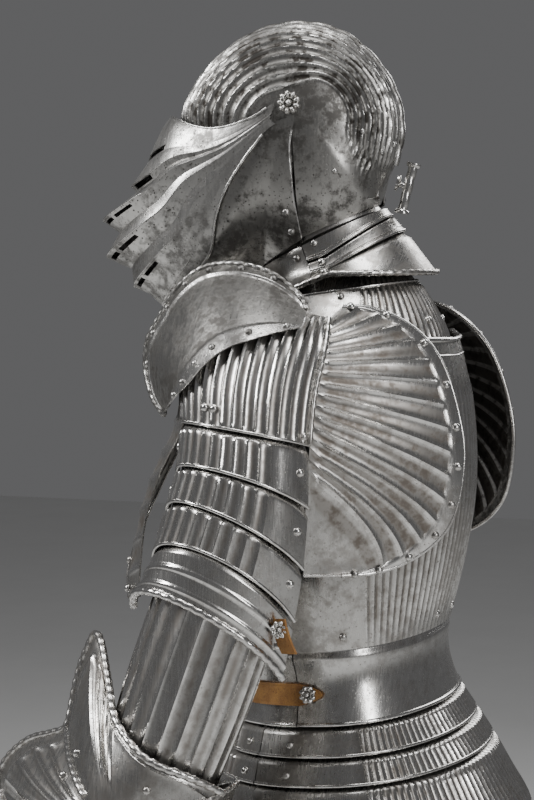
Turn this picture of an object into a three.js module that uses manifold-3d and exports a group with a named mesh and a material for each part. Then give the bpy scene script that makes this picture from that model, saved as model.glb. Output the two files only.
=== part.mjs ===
// A fluted steel field armour, worn pose, with close helmet, haute-pieces and winged pauldrons.
// Millimetres. +Z up, the suit faces -Y and its own left side is +X.
// The origin is the middle of the base of the neck, where the wearer carries the suit.
// Every plate is a thin shell: an outer skin from a surface function, set back by the plate's thickness.
import * as THREE from 'three';
import { mergeVertices } from 'three/addons/utils/BufferGeometryUtils.js';
import ManifoldModule from 'manifold-3d';

// ---- driving dimensions -------------------------------------------------------------------------
const PLATE = 1.4; // steel thickness
const STRAP = 2.6; // leather thickness
const LAP = 4.4; // how far one lame lies inside the next, outer face to outer face

const TORSO_LEAN = 6; // degrees, the cuirass leans forward over the hips
const HELM_NOD = 24.5; // degrees, the helmet looks down
const HELM_TURN = 10; // degrees, the helmet is turned to its own left
const PIVOT = new THREE.Vector3(0, -36.4, 229.9); // where the visor's axis meets the middle plane
const SKULL_SIDE = 94; // pivot axis to the side of the skull, half the helmet's width
const HELM_FORM = 2.3; // exponent of the helmet's cross sections
const BEVOR_OUT = 4.6; // bevor outside the skull
const VISOR_OUT = 9.2; // visor outside the skull

const TORSO_FORM = 2.1; // exponent of the cuirass cross sections
const SIDE_SEAM = 77; // degrees from the front middle to the seam between breast and back
const FAULD_SEAM = 60; // the same for the lames below the waist

const FLOOR = -1400; // soles of the sabatons
const ELBOW = new THREE.Vector3(258, -114, -480);
const FOREARM_DROP = 25; // degrees, the forearm points forward and down
const FOREARM_TOE = 12; // degrees, the forearm turns in towards the middle

// ---- small maths --------------------------------------------------------------------------------
const rad = THREE.MathUtils.degToRad;
const mix = THREE.MathUtils.lerp;
const clamp = THREE.MathUtils.clamp;
const vec = (x, y, z) => new THREE.Vector3(x, y, z);
const spow = (a, e) => Math.sign(a) * Math.abs(a) ** e;
const bump = (v) => 4 * v * (1 - v);

// A table whose first column is the key, read between its rows along a smooth curve.
function smooth(rows) {
  const down = rows[0][0] > rows[rows.length - 1][0];
  return (key) => {
    let i = 0;
    while (i < rows.length - 2 && (down ? key < rows[i + 1][0] : key > rows[i + 1][0])) i += 1;
    const [a, b] = [rows[i], rows[i + 1]];
    const [before, after] = [rows[Math.max(i - 1, 0)], rows[Math.min(i + 2, rows.length - 1)]];
    const span = b[0] - a[0];
    const t = clamp((key - a[0]) / span, 0, 1);
    return a.slice(1).map((start, c) => {
      const end = b[c + 1];
      const slopeA = ((end - before[c + 1]) / (b[0] - before[0])) * span;
      const slopeB = ((after[c + 1] - start) / (after[0] - a[0])) * span;
      const [t2, t3] = [t * t, t * t * t];
      return (2 * t3 - 3 * t2 + 1) * start + (t3 - 2 * t2 + t) * slopeA
        + (3 * t2 - 2 * t3) * end + (t3 - t2) * slopeB;
    });
  };
}

// The same read by row, 0 the first and 1 the last, in straight steps.
function alongRows(rows, v) {
  const place = v * (rows.length - 1);
  const i = Math.min(Math.floor(place), rows.length - 2);
  return rows[i].map((start, c) => mix(start, rows[i + 1][c], place - i));
}

// A curve through a few points, read from 0 to 1 by length.
function path(points) {
  const curve = new THREE.CatmullRomCurve3(points.map(([x, y, z]) => vec(x, y, z)), false, 'centripetal');
  return (t) => curve.getPointAt(clamp(t, 0, 1));
}

// ---- plates -------------------------------------------------------------------------------------
// The outer skin: a grid of points and their normals from surface(u, v), u across and v down, 0 to 1.
function skin(surface, across, down, wrap = false) {
  const points = [];
  const normals = [];
  const step = 1e-3;
  const columns = wrap ? across : across + 1;
  for (let j = 0; j <= down; j += 1) {
    for (let i = 0; i < columns; i += 1) {
      const [u, v] = [i / across, j / down];
      const [ua, ub] = wrap ? [u - step, u + step] : [Math.max(u - step, 0), Math.min(u + step, 1)];
      const [va, vb] = [Math.max(v - step, 0), Math.min(v + step, 1)];
      const alongU = surface(ub, v).sub(surface(ua, v));
      const alongV = surface(u, vb).sub(surface(u, va));
      points.push(surface(u, v));
      normals.push(alongU.cross(alongV).normalize());
    }
  }
  const faces = [];
  for (let j = 0; j < down; j += 1) {
    for (let i = 0; i < across; i += 1) {
      const [a, b] = [j * columns + i, j * columns + ((i + 1) % columns)];
      faces.push([a, b, b + columns], [a, b + columns, a + columns]);
    }
  }
  return { points, normals, faces };
}

// Two skins that share points along an edge become one.
function weld(...skins) {
  const whole = { points: [], normals: [], faces: [] };
  const seen = new Map();
  for (const part of skins) {
    const index = part.points.map((point, i) => {
      const key = [point.x, point.y, point.z].map((c) => Math.round(c * 100)).join();
      if (!seen.has(key)) {
        seen.set(key, whole.points.length);
        whole.points.push(point);
        whole.normals.push(part.normals[i].clone());
      } else {
        whole.normals[seen.get(key)].add(part.normals[i]);
      }
      return seen.get(key);
    });
    for (const face of part.faces) {
      const [a, b, c] = face.map((i) => index[i]);
      if (a !== b && b !== c && a !== c) whole.faces.push([a, b, c]);
    }
  }
  whole.normals.forEach((normal) => normal.normalize());
  return whole;
}

// Gives a skin its thickness: outer and inner faces, and a wall along every free edge.
function thicken({ points, normals, faces }, thick) {
  const middle = points.reduce((sum, p) => sum.add(p), vec(0, 0, 0)).divideScalar(points.length);
  const outward = points.reduce((sum, p, i) => sum + normals[i].dot(p.clone().sub(middle)), 0) > 0;
  const sign = outward ? 1 : -1;
  const inner = points.map((p, i) => p.clone().addScaledVector(normals[i], -sign * thick));
  const count = points.length;
  const triangles = [];
  const edges = new Map();
  for (const face of faces) {
    const [a, b, c] = outward ? face : [face[0], face[2], face[1]];
    triangles.push(a, b, c, a + count, c + count, b + count);
    for (const [p, q] of [[a, b], [b, c], [c, a]]) {
      if (edges.has(`${q},${p}`)) edges.delete(`${q},${p}`);
      else edges.set(`${p},${q}`, [p, q]);
    }
  }
  for (const [p, q] of edges.values()) triangles.push(q, p, p + count, q, p + count, q + count);
  const geometry = new THREE.BufferGeometry();
  const flat = [...points, ...inner].flatMap((p) => [p.x, p.y, p.z]);
  geometry.setAttribute('position', new THREE.Float32BufferAttribute(flat, 3));
  geometry.setIndex(triangles);
  return geometry;
}

function mirrored(geometry) {
  const copy = geometry.clone();
  copy.scale(-1, 1, 1);
  const index = copy.index.array;
  for (let i = 0; i < index.length; i += 3) [index[i + 1], index[i + 2]] = [index[i + 2], index[i + 1]];
  return copy;
}

// ---- finishes -----------------------------------------------------------------------------------
const steel = (color = 0x8c8983) => new THREE.MeshStandardMaterial({ color, roughness: 0.35,
  metalness: 1 });
const darkSteel = () => steel(0x6f6b64);
const brightSteel = () => steel(0xa9a6a0);
const leather = () => new THREE.MeshStandardMaterial({ color: 0x9a6428, roughness: 0.75, metalness: 0 });

const suit = new THREE.Group();
function add(parent, name, geometry, material) {
  const mesh = new THREE.Mesh(geometry, material);
  mesh.name = name;
  parent.add(mesh);
  return mesh;
}
// The same piece on the left and, mirrored, on the right.
function addPair(parent, name, geometry, material) {
  add(parent, `${name}_l`, geometry, material);
  add(parent, `${name}_r`, mirrored(geometry), material.clone());
}

// ---- helmet -------------------------------------------------------------------------------------
// In the helmet's own frame x is its left, -y forward, z up, and the pivot axis is x.
// A point is given by its angle about the pivot (0 forward, 90 up), and how far it has come
// from the pivot at the side (0) to the plate's far edge (1).
const helm = new THREE.Group();
helm.position.copy(PIVOT);
helm.rotation.set(rad(HELM_NOD), 0, rad(HELM_TURN), 'ZYX');
suit.add(helm);

const NECK = { level: -130, middle: 37, long: 75, wide: 66 }; // the narrow neck opening, an oval
const neckWidth = (forward) => (
  NECK.wide * Math.sqrt(clamp(1 - ((forward - NECK.middle) / NECK.long) ** 2, 0, 1))
);

// angle, distance from the pivot to the middle line of the skull
const skullRim = smooth([
  [22, 138], [34, 129], [45, 120.5], [60, 111], [75, 104.5], [90, 100], [107, 96.5], [125, 95],
  [142, 94.8], [159, 94.6], [178, 98], [195, 103.5], [210, 109.5], [222, 114], [233, 118], [244, 124],
    [254, 136],
]);
// angle, distance to the middle line of the visor: sight step, then the bellows' tips and valleys
const VISOR_LINE = [
  [22, 141], [13.4, 159], [6, 178], [3.2, 192], [1.2, 203], [-1.6, 201], [-4, 249], [-8.9, 239],
  [-12, 267], [-18, 253], [-21.6, 265], [-25.5, 259], [-30, 261], [-34, 252],
];
// angle, distance to the middle line of the bevor: face opening, chin, underside
const bevorRim = smooth([[-4, 186], [-10, 222], [-18, 238], [-26, 246], [-32, 246], [-36, 226],
  [-43, 193], [-50, 171]]);

function helmPoint(angle, distance, side) {
  return vec(side, -distance * Math.cos(rad(angle)), distance * Math.sin(rad(angle)));
}

// One point of a cross section: 0 degrees at the middle line, 90 at the pivot.
function crossSection(rim, wide, turn) {
  return [rim * Math.cos(rad(turn)) ** (2 / HELM_FORM), wide * spow(Math.sin(rad(turn)), 2 / HELM_FORM)];
}

// The cross section from the pivot to the middle line, or to the neck opening where that cuts it off.
function helmSection(angle, far, out, middleRim) {
  const reach = NECK.level / Math.sin(rad(angle));
  const edge = Math.sin(rad(angle)) < -0.7 ? neckWidth(reach * Math.cos(rad(angle))) : 0;
  if (edge < 1) return crossSection(middleRim + out, SKULL_SIDE + out, mix(90, 0, far));
  const share = edge / SKULL_SIDE;
  const rim = reach / (1 - share ** HELM_FORM) ** (1 / HELM_FORM);
  const start = THREE.MathUtils.radToDeg(Math.asin(share ** (HELM_FORM / 2)));
  return crossSection(rim + out, SKULL_SIDE + out, mix(90, start, far));
}

// How far forward the skull's edge lies, as an angle, at a share of the way from pivot to brow.
const browEdge = smooth([[0, -8], [0.25, -14], [0.4, -8], [0.6, 0], [0.8, 8], [1, 17]]);

function makeSkull() {
  const [nape, cheek] = [254, 292];
  const tongue = 0.3; // the share of the way that the plate reaches forward of the pivot, under the visor
  const comb = 5; // height of the rope comb along the middle
  const shares = [0.03, 0.3, 0.5, 0.68, 0.83, 0.945, 1];
  const angles = [17, 34, 52, 72, 94, 116, 138, 160, 182, 204, 222, 238, 254, 267, 280, 292, 322];
  function point(i, j, hand) {
    const inFront = angles[i] > cheek;
    const far = shares[j] * (inFront ? tongue : 1);
    const angle = i === 0 ? browEdge(shares[j])[0] : angles[i];
    const overTop = angle <= nape;
    const rim = inFront || angle < 17 ? 134 : (overTop ? skullRim(angle)[0] - comb : 0);
    const [distance, side] = inFront ? crossSection(rim, SKULL_SIDE, mix(90, 0,
      far)) : helmSection(angle, far, 0, rim);
    return helmPoint(angle, distance + (far > 0.99 && overTop ? comb : 0), hand * side);
  }
  const halves = [1, -1].map((hand) => {
    const points = [];
    for (let j = 0; j < shares.length; j += 1) {
      for (let i = 0; i < angles.length; i += 1) points.push(point(i, j, hand));
    }
    const faces = [];
    for (let j = 0; j < shares.length - 1; j += 1) {
      for (let i = 0; i < angles.length; i += 1) {
        const next = (i + 1) % angles.length;
        const quad = [j * angles.length + i, j * angles.length + next,
          (j + 1) * angles.length + next, (j + 1) * angles.length + i];
        if (hand < 0) quad.reverse();
        faces.push([quad[0], quad[1], quad[2]], [quad[0], quad[2], quad[3]]);
      }
    }
    return { points, normals: faceNormals(points, faces), faces };
  });
  return thicken(weld(...halves), PLATE);
}

function faceNormals(points, faces) {
  const normals = points.map(() => vec(0, 0, 0));
  for (const [a, b, c] of faces) {
    const n = points[b].clone().sub(points[a]).cross(points[c].clone().sub(points[a]));
    [a, b, c].forEach((i) => normals[i].add(n));
  }
  normals.forEach((n) => n.normalize());
  return normals;
}

// The visor: rows are rays from the pivot, and the bellows are steps in how far each ray reaches.
function makeVisor() {
  // distance from the pivot, angle of the upper edge, angle of the lower edge
  const sides = smooth([
    [0, 70, -90], [14, 30, -48], [31, 8, -27], [57, 5, -25], [86, 8, -26], [111, 14, -27.5],
      [139, 21, -30.5],
    [175, 22, -35.5], [200, 22, -35], [260, 22, -33.5],
  ]);
  const surface = (u, v) => {
    const turn = mix(86, -86, u);
    const [line, middle] = alongRows(VISOR_LINE, v);
    const reach = middle + VISOR_OUT - 4;
    const [distance, width] = crossSection(reach, SKULL_SIDE + VISOR_OUT, Math.abs(turn));
    const side = Math.sign(turn) * width;
    const [top, low] = sides(distance);
    const share = (22 - line) / 56;
    return helmPoint(mix(top, low, share), distance, side);
  };
  return thicken(skin(surface, 12, VISOR_LINE.length - 1), PLATE);
}

function makeBevor() {
  const [top, bottom, split] = [-4, -70, -50]; // beyond the split the two sides are apart, round the neck
  const [across, down] = [5, 7];
  // distance from the pivot, angle of the upper edge, angle of the rear edge
  const edges = smooth([[0, 60, -120], [14, 20, -85], [35, -8, -66], [80, -12, -66], [150, -12, -69],
    [260, -4, -70]]);
  const half = (hand) => (u, v) => {
    const line = mix(top, bottom, v);
    const far = hand > 0 ? u : 1 - u;
    const [distance, side] = helmSection(line, mix(0.04, 1, far), BEVOR_OUT, bevorRim(line)[0]);
    const middle = far === 1 && line > split;
    return helmPoint(mix(...edges(distance), v), distance, middle ? 0 : hand * side);
  };
  return thicken(weld(skin(half(1), across, down), skin(half(-1), across, down)), PLATE);
}

// Neck rings below the helmet, 0 the neck opening, 1 and 2 lame edges, 3 the roped rim.
// level: back reach, front reach, half width, height at back, side and front
const neckRings = smooth([
  [-1, -38, 112, 66, -118, -118, -120],
  [0, -38, 112, 66, -132, -131, -135],
  [1, -40, 114, 68, -144, -156, -148],
  [2, -46, 118, 74, -164, -171, -160],
  [3, -59, 126, 91, -220, -178, -174],
]);
function neckPoint(level, angle, out) {
  const [back, front, wide, zBack, zSide, zFront] = neckRings(level);
  const [c, s] = [Math.cos(rad(angle)), Math.sin(rad(angle))];
  const forward = NECK.middle + c * (c > 0 ? front - NECK.middle + out : NECK.middle - back + out);
  const height = c > 0 ? mix(zSide, zFront, c) : mix(zSide, zBack, -c);
  return vec((wide + out) * s, -forward, height);
}
// A lame from one level to another. Above `cover`, the edge of the plate over it, it lies one lap inside.
function makeNeckLame(top, cover, bottom, from, to, across, lap = LAP) {
  const rows = [[top, -lap], [cover, -lap], [cover + 0.16, 0], [bottom, 0]];
  const surface = (u, v) => {
    const [level, out] = alongRows(rows, v);
    return neckPoint(level, mix(from, to, u), out);
  };
  return thicken(skin(surface, across, rows.length - 1), PLATE);
}

// A flower-headed pivot: nine round petals about a dome, and the pin behind it.
function makeRosette(hand) {
  const [petals, radius] = [9, 12.5];
  const outline = [];
  for (let i = 0; i < petals * 2; i += 1) {
    const turn = (i / (petals * 2)) * Math.PI * 2;
    const r = i % 2 ? radius * 0.8 : radius;
    outline.push(new THREE.Vector2(r * Math.cos(turn), r * Math.sin(turn)));
  }
  const plate = new THREE.ExtrudeGeometry(new THREE.Shape(outline), { depth: 5, bevelEnabled: false });
  plate.rotateY(hand * Math.PI / 2);
  plate.translate(hand * (SKULL_SIDE + VISOR_OUT + 0.6), 0, 0);
  return plate;
}

// manifold-3d, used to join solids that are one piece of metal
const wasm = await ManifoldModule();
wasm.setup();
function asSolid(geometry) {
  const plain = geometry.clone();
  ['normal', 'uv'].forEach((name) => plain.deleteAttribute(name));
  const merged = mergeVertices(plain, 1e-4);
  return new wasm.Manifold(new wasm.Mesh({
    numProp: 3, vertProperties: merged.attributes.position.array,
      triVerts: new Uint32Array(merged.index.array),
  }));
}
function asGeometry(solid) {
  const mesh = solid.getMesh();
  const geometry = new THREE.BufferGeometry();
  geometry.setAttribute('position', new THREE.Float32BufferAttribute(mesh.vertProperties, 3));
  geometry.setIndex([...mesh.triVerts]);
  return geometry;
}
const joined = (...parts) => asGeometry(parts.map(asSolid).reduce((a, b) => a.add(b)));

function rod(from, to, radiusFrom, radiusTo, sides) {
  const geometry = new THREE.CylinderGeometry(radiusTo, radiusFrom, from.distanceTo(to), sides);
  const turn = new THREE.Quaternion().setFromUnitVectors(vec(0, 1, 0), to.clone().sub(from).normalize());
  geometry.applyQuaternion(turn);
  geometry.translate(...from.clone().add(to).multiplyScalar(0.5).toArray());
  return geometry;
}

// The plume tube stands off the nape on a stud.
function makePlumeTube() {
  const [top, foot] = [vec(0, 85, -103), vec(0, 50, -147)];
  const along = foot.clone().sub(top).normalize();
  const hub = top.clone().add(foot).multiplyScalar(0.5);
  return joined(
    rod(top, foot, 5.6, 5.6, 8),
    rod(top, top.clone().addScaledVector(along, 5), 8, 7, 8),
    rod(foot, foot.clone().addScaledVector(along, -5), 8, 7, 8),
    rod(vec(0, 59.5, -114.5), hub, 3, 3, 6),
  );
}

add(helm, 'helm_skull', makeSkull(), darkSteel());
add(helm, 'helm_bevor', makeBevor(), steel());
add(helm, 'helm_visor', makeVisor(), brightSteel());
const BEHIND = [76, 284]; // degrees round the neck: the rear lames
// name: its hidden upper edge, the edge of the plate above it, its own lower edge, its lap
const NAPE_LAMES = [['1', -0.15, 0.12, 1, LAP + 2.4], ['2', 0.65, 1.1, 2, LAP], ['3', 1.75, 2.06, 3, LAP]];
for (const [name, top, cover, bottom, lap] of NAPE_LAMES) {
  add(helm, `helm_nape_${name}`, makeNeckLame(top, cover, bottom, ...BEHIND, 9, lap), steel());
}
add(helm, 'helm_bevor_lame', makeNeckLame(-0.5, 0.1, 3, -71, 71, 8), steel());
add(helm, 'helm_rosette_l', makeRosette(1), steel());
add(helm, 'helm_rosette_r', makeRosette(-1), steel());
add(helm, 'helm_plume_tube', makePlumeTube(), brightSteel());

// ---- gorget -------------------------------------------------------------------------------------
// height: half width, reach to the back, reach to the front
const gorgetRings = smooth([
  [92, 48, 54, 50], [66, 54, 70, 56], [43, 68, 87, 62], [20, 88, 102, 68], [-14, 120, 118, 98],
    [-45, 138, 119, 122],
]);
// rows: height, tilt (how much higher the back edge is than the side), lap
function makeGorget(rows) {
  const surface = (u, v) => {
    const [level, tilt, out] = alongRows(rows, v);
    const [c, s] = [Math.cos(u * Math.PI * 2), Math.sin(u * Math.PI * 2)];
    const height = level - tilt * c;
    const [wide, back, front] = gorgetRings(height);
    return vec((wide + out) * s, -c * ((c > 0 ? front : back) + out), height);
  };
  return thicken(skin(surface, 20, rows.length - 1, true), PLATE);
}
add(suit, 'gorget_collar', makeGorget([[80, 10, 0], [56, 10, 0], [28, 10, 0]]), steel());
add(suit, 'gorget_lower', makeGorget([[31, 14, LAP], [10, 8, LAP], [-14, 4, LAP],
  [-44, 0, LAP]]), darkSteel());

// ---- cuirass ------------------------------------------------------------------------------------
const trunk = new THREE.Group();
trunk.rotation.x = rad(TORSO_LEAN);
suit.add(trunk);

// height: half width, reach to the back, reach to the front
const torsoRings = smooth([
  [0, 138, 122, 104], [-33, 154, 130, 126], [-90, 172, 135, 152], [-150, 179, 134, 168],
    [-210, 177, 126, 176],
  [-270, 169, 109, 174], [-320, 156, 92, 158], [-367, 143, 82, 146], [-412, 152, 90, 152],
    [-442, 165, 105, 161],
  [-470, 176, 121, 170], [-510, 189, 140, 182], [-548, 201, 157, 192], [-700, 232, 178, 205],
]);
function torsoPoint(angle, height, out) {
  const [wide, back, front] = torsoRings(height);
  const [c, s] = [Math.cos(rad(angle)), Math.sin(rad(angle))];
  const power = 2 / TORSO_FORM;
  return vec((wide + out) * spow(s, power), -(c > 0 ? front + out : back + out) * spow(c, power), height);
}

// upper edges of breast and back: degrees from the front middle, height
const breastTop = smooth([[0, -58], [28, -54], [42, -34], [58, -92], [77, -168]]);
const backTop = smooth([[77, -182], [100, -150], [120, -82], [138, -26], [155, -29], [180, -32]]);
const WAIST = -336;

function makeBreast() {
  const surface = (u, v) => {
    const angle = mix(-SIDE_SEAM, SIDE_SEAM, u);
    const height = mix(breastTop(Math.abs(angle))[0], WAIST, v);
    return torsoPoint(angle, height, 0);
  };
  return thicken(skin(surface, 12, 5), PLATE);
}
function makeBack() {
  const surface = (u, v) => {
    const angle = mix(SIDE_SEAM + 0.5, 360 - SIDE_SEAM - 0.5, u);
    const height = mix(backTop(180 - Math.abs(180 - angle))[0], WAIST, v);
    return torsoPoint(angle, height, 0);
  };
  return thicken(skin(surface, 16, 5), PLATE);
}
// A band round half the trunk. Above `cover`, the edge of the plate over it, it lies one lap inside.
function makeHoop(rows, seam, half, across) {
  const [from, to] = half === 'front' ? [-seam, seam] : [seam + 0.5, 360 - seam - 0.5];
  const surface = (u, v) => {
    const [height, out] = alongRows(rows, v);
    return torsoPoint(mix(from, to, u), height, out);
  };
  return thicken(skin(surface, across, rows.length - 1), PLATE);
}
add(trunk, 'breastplate', makeBreast(), steel());
add(trunk, 'backplate', makeBack(), steel());
// name: seam, heights and laps of its rows
const HOOPS = [
  ['waist', SIDE_SEAM, [[-322, -LAP], [WAIST - 2, -LAP], [WAIST - 8, 0], [-367, 0], [-390, 0], [-412, 0]]],
  ['fauld_1', FAULD_SEAM, [[-402, -LAP - 2], [-414, -LAP - 2], [-420, 0], [-442, 0]]],
  ['fauld_2', FAULD_SEAM, [[-432, -LAP - 2], [-444, -LAP - 2], [-450, 0], [-470, 0]]],
  ['fauld_3', FAULD_SEAM, [[-460, -LAP - 2], [-472, -LAP - 2], [-478, 0], [-548, 0]]],
];
for (const [name, seam, rows] of HOOPS) {
  add(trunk, `${name}_front`, makeHoop(rows, seam, 'front', 8), brightSteel());
  add(trunk, `${name}_back`, makeHoop(rows, seam, 'back', 12), brightSteel());
}

// Tassets: two plates that carry the skirt's curve on down over the thighs.
function makeTasset() {
  const surface = (u, v) => torsoPoint(mix(5, 66, u), mix(-553, -692 - 14 * bump(u), v), 10 * v);
  return thicken(skin(surface, 6, 3), PLATE);
}
addPair(trunk, 'tasset', makeTasset(), steel());

// A leather strap laid over the side of the waist, with a round end on the back.
function makeWaistStrap() {
  const [from, to, middle, half] = [50, 88, -381, 11];
  const surface = (u, v) => {
    const width = half * Math.min(1, Math.sqrt(Math.max(0.12, (1 - u) * 4)));
    return torsoPoint(mix(from, to, u), mix(middle + width, middle - width, v), STRAP + 1.8);
  };
  return thicken(skin(surface, 8, 1), STRAP);
}
addPair(trunk, 'waist_strap', makeWaistStrap(), leather());

// ---- pauldrons ----------------------------------------------------------------------------------
// Rings round the upper arm, each the lower edge of a lame. Angles: 0 outward, 90 to the rear.
// lame: middle x, middle y, half width x, half width y, height outside, fall to the rear, drop at the ends
const armRings = smooth([
  [-1, 150, -14, 3, 58, 24, 0.02, 4],
  [-0.5, 172, -18, 60, 70, -4, 0.06, 6],
  [0, 198, -22, 64, 72, -45, 0.08, 8],
  [1, 212, -20, 68, 69, -96, 0.14, 8],
  [2, 216, -21, 72, 71, -137, 0.22, 20],
  [3, 219, -28, 74, 74, -175, 0.34, 31],
  [4, 221, -39, 76, 77, -214, 0.32, 42],
  [5, 224, -55, 78, 82, -266, 0.39, 40],
]);
function armPoint(level, angle, out) {
  const [x, y, halfX, halfY, height, fall, drop] = armRings(level);
  const [c, s] = [Math.cos(rad(angle)), Math.sin(rad(angle))];
  const reach = (halfY + out) * s;
  return vec(x + (halfX + out) * c, y + reach, height - fall * reach - drop * (angle / 70) ** 2);
}
const LAME_END = 76; // degrees to the front and rear of outward
const MAIN_TOP = -0.85; // the level of the main plate's edge beside the neck
function makeMain() {
  const surface = (u, v) => armPoint(mix(MAIN_TOP, 1, v), mix(-LAME_END, LAME_END, u), 0);
  return thicken(skin(surface, 10, 5), PLATE);
}
function makeLame(number) {
  const rows = [[number - 1.25, -LAP], [number - 0.96, -LAP], [number - 0.83, 0], [number, 0]];
  const surface = (u, v) => {
    const [level, out] = alongRows(rows, v);
    return armPoint(level, mix(-LAME_END, LAME_END, u), out);
  };
  return thicken(skin(surface, 8, rows.length - 1), PLATE);
}

// A wing spreads from a ridge beside the arm to a border over the shoulder blade or the breast.
// Its ridge follows the main plate's edge, then runs free down beside the lames.
function wingRidge(side, free) {
  const beside = [MAIN_TOP, -0.4, 0, 0.5, 1].map((level) => armPoint(level, side * (LAME_END + 1),
    0).toArray());
  return path([...beside, ...free]);
}
const rearRidge = wingRidge(1, [[216, 40, -160], [204, 33, -248]]);
const frontRidge = wingRidge(-1, [[216, -118, -150], [206, -138, -200], [195, -152, -282]]);
const rearBorder = path([
  [142, 54, 20], [128, 79, 18], [116, 107, 6], [110, 128, -10], [110, 149, -38], [112, 167, -89],
    [112, 173, -134],
  [118, 163, -195], [128, 145, -221], [145, 118, -240], [164, 92, -248], [184, 66, -249],
]);
const frontBorder = path([
  [138, -78, 18], [112, -100, 4], [92, -116, -26], [80, -127, -64], [77, -140, -108], [84, -169, -170],
  [104, -187, -224], [138, -187, -266], [172, -171, -286],
]);
function makeWing(ridge, border, swell) {
  const surface = (u, v) => {
    const point = ridge(u).clone().lerp(border(u), v);
    const away = vec(0.4, Math.sign(swell), 0.1 - 0.3 * u).normalize();
    return point.addScaledVector(away, Math.abs(swell) * bump(v) * Math.sin(Math.PI * clamp(u * 1.1, 0,
      1)));
  };
  return thicken(skin(surface, 10, 3), PLATE);
}

// The haute-piece stands on the main plate, in front of the shoulder's top, and guards the neck.
const hauteBase = path([
  [207, 35, -3], [227, 19, -7], [245, -2, -14], [255, -26, -23], [260, -47, -39], [261, -62, -56],
    [250, -80, -70], [234, -96, -82],
]);
const hauteRim = path([
  [178, 28, 17], [160, 10, 34], [152, -22, 54], [149, -62, 63], [142, -100, 58], [135, -130, 38],
    [128, -152, 10],
  [124, -170, -20], [124, -172, -48], [140, -158, -76], [168, -134, -92], [194, -122, -88],
]);
const HAUTE_LIFT = 5; // how far its foot stands off the main plate
function makeHaute() {
  const surface = (u, v) => {
    const point = hauteBase(u).clone().lerp(hauteRim(u), v);
    const lift = 10 * bump(v) * Math.sin(Math.PI * u) + HAUTE_LIFT * (1 - v);
    return point.addScaledVector(vec(0.6, -0.5, 0.6).normalize(), lift);
  };
  return thicken(skin(surface, 10, 3), PLATE);
}

addPair(suit, 'pauldron_main', makeMain(), steel());
addPair(suit, 'pauldron_rear_wing', makeWing(rearRidge, rearBorder, 14), steel());
addPair(suit, 'pauldron_front_wing', makeWing(frontRidge, frontBorder, -12), steel());
addPair(suit, 'haute_piece', makeHaute(), brightSteel());
for (let number = 2; number <= 5; number += 1) {
  addPair(suit, `pauldron_lame_${number - 1}`, makeLame(number), steel());
}
// ---- arms ---------------------------------------------------------------------------------------
// A closed tube along a straight line, with a half width across and along at each station.
function makeTube(from, to, stations, sides, down, range = null, lean = vec(0, 0, 0)) {
  const axis = to.clone().sub(from);
  const along = axis.clone().normalize();
  const right = vec(1, 0, 0).addScaledVector(along, -along.x).normalize();
  const ahead = right.clone().cross(along).normalize();
  const sizes = smooth(stations);
  const surface = (u, v) => {
    const [wide, deep] = sizes(v);
    const angle = range ? rad(mix(range[0], range[1], u)) : u * Math.PI * 2;
    return from.clone().addScaledVector(axis, v).addScaledVector(lean, bump(v))
      .addScaledVector(right, wide * Math.cos(angle)).addScaledVector(ahead, deep * Math.sin(angle));
  };
  return thicken(skin(surface, sides, down, !range), PLATE);
}
const shoulderEnd = vec(232, -42, -262);
const upperAxis = ELBOW.clone().sub(shoulderEnd);
const upperStations = [[0, 58, 63], [0.5, 58, 63], [1, 54, 57]];
addPair(suit, 'upper_cannon', makeTube(
  shoulderEnd, shoulderEnd.clone().addScaledVector(upperAxis, 0.9), upperStations, 12, 2,
), brightSteel());

// The couter: a cap behind the elbow, and a fluted wing of two lobes round the bend on the outer side.
// Both are built about the middle of the bend, 0 degrees to the rear, 90 up and 180 forward.
const BEND = ELBOW.clone().add(vec(0, 0, -8));
const CAP = { reach: 82, wide: 68, from: 20, to: -100 };
const capSection = (turn) => [CAP.reach * Math.cos(turn) ** 0.7, CAP.wide * spow(Math.sin(turn), 0.85)];
function aroundBend(angle, reach, side) {
  return vec(BEND.x + side, BEND.y + reach * Math.cos(rad(angle)), BEND.z + reach * Math.sin(rad(angle)));
}
function makeCouterCap() {
  const surface = (u, v) => {
    const [reach, side] = capSection(rad(mix(-78, 78, u)));
    const flare = 1 + 0.16 * Math.max(0, 1 - Math.min(v, 1 - v) * 8);
    return aroundBend(mix(CAP.from, CAP.to, v), reach * flare, side);
  };
  return thicken(skin(surface, 8, 6), PLATE);
}
// The wing's edge from the back of the upper arm, up to the tip of its upper lobe, the notch at the bend,
// the lower lobe, and back under the forearm. angle, reach, out from the bend's middle plane
const wingLine = [
  [21, 95, 44], [39, 85, 61], [60, 77, 66], [82, 82, 60], [100, 103, 38], [108, 138, 0], [114, 184, -45],
  [122, 174, -53], [135, 146, -46], [146, 129, -36], [155, 143, -44], [165, 173, -60], [177, 199, -64],
  [186, 194, -54], [192, 162, 14], [203, 120, 40], [219, 92, 57], [240, 84, 62], [259, 95, 44],
];
function makeCouterWing() {
  const surface = (u, v) => {
    const [angle, edge, out] = alongRows(wingLine, u);
    const reach = mix(24, edge, v);
    const nearCap = Math.max(0, 1 - Math.min(u, 1 - u) * 8);
    const round = CAP.wide * Math.sqrt(Math.max(0, 1 - (reach / (CAP.reach * 1.2)) ** 2));
    return aroundBend(angle, reach, mix(mix(71, out, v ** 1.7), round, nearCap * 0.8));
  };
  return thicken(skin(surface, wingLine.length - 1, 2), PLATE);
}
addPair(suit, 'couter_cap', makeCouterCap(), steel());
addPair(suit, 'couter_wing', makeCouterWing(), steel());

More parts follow.
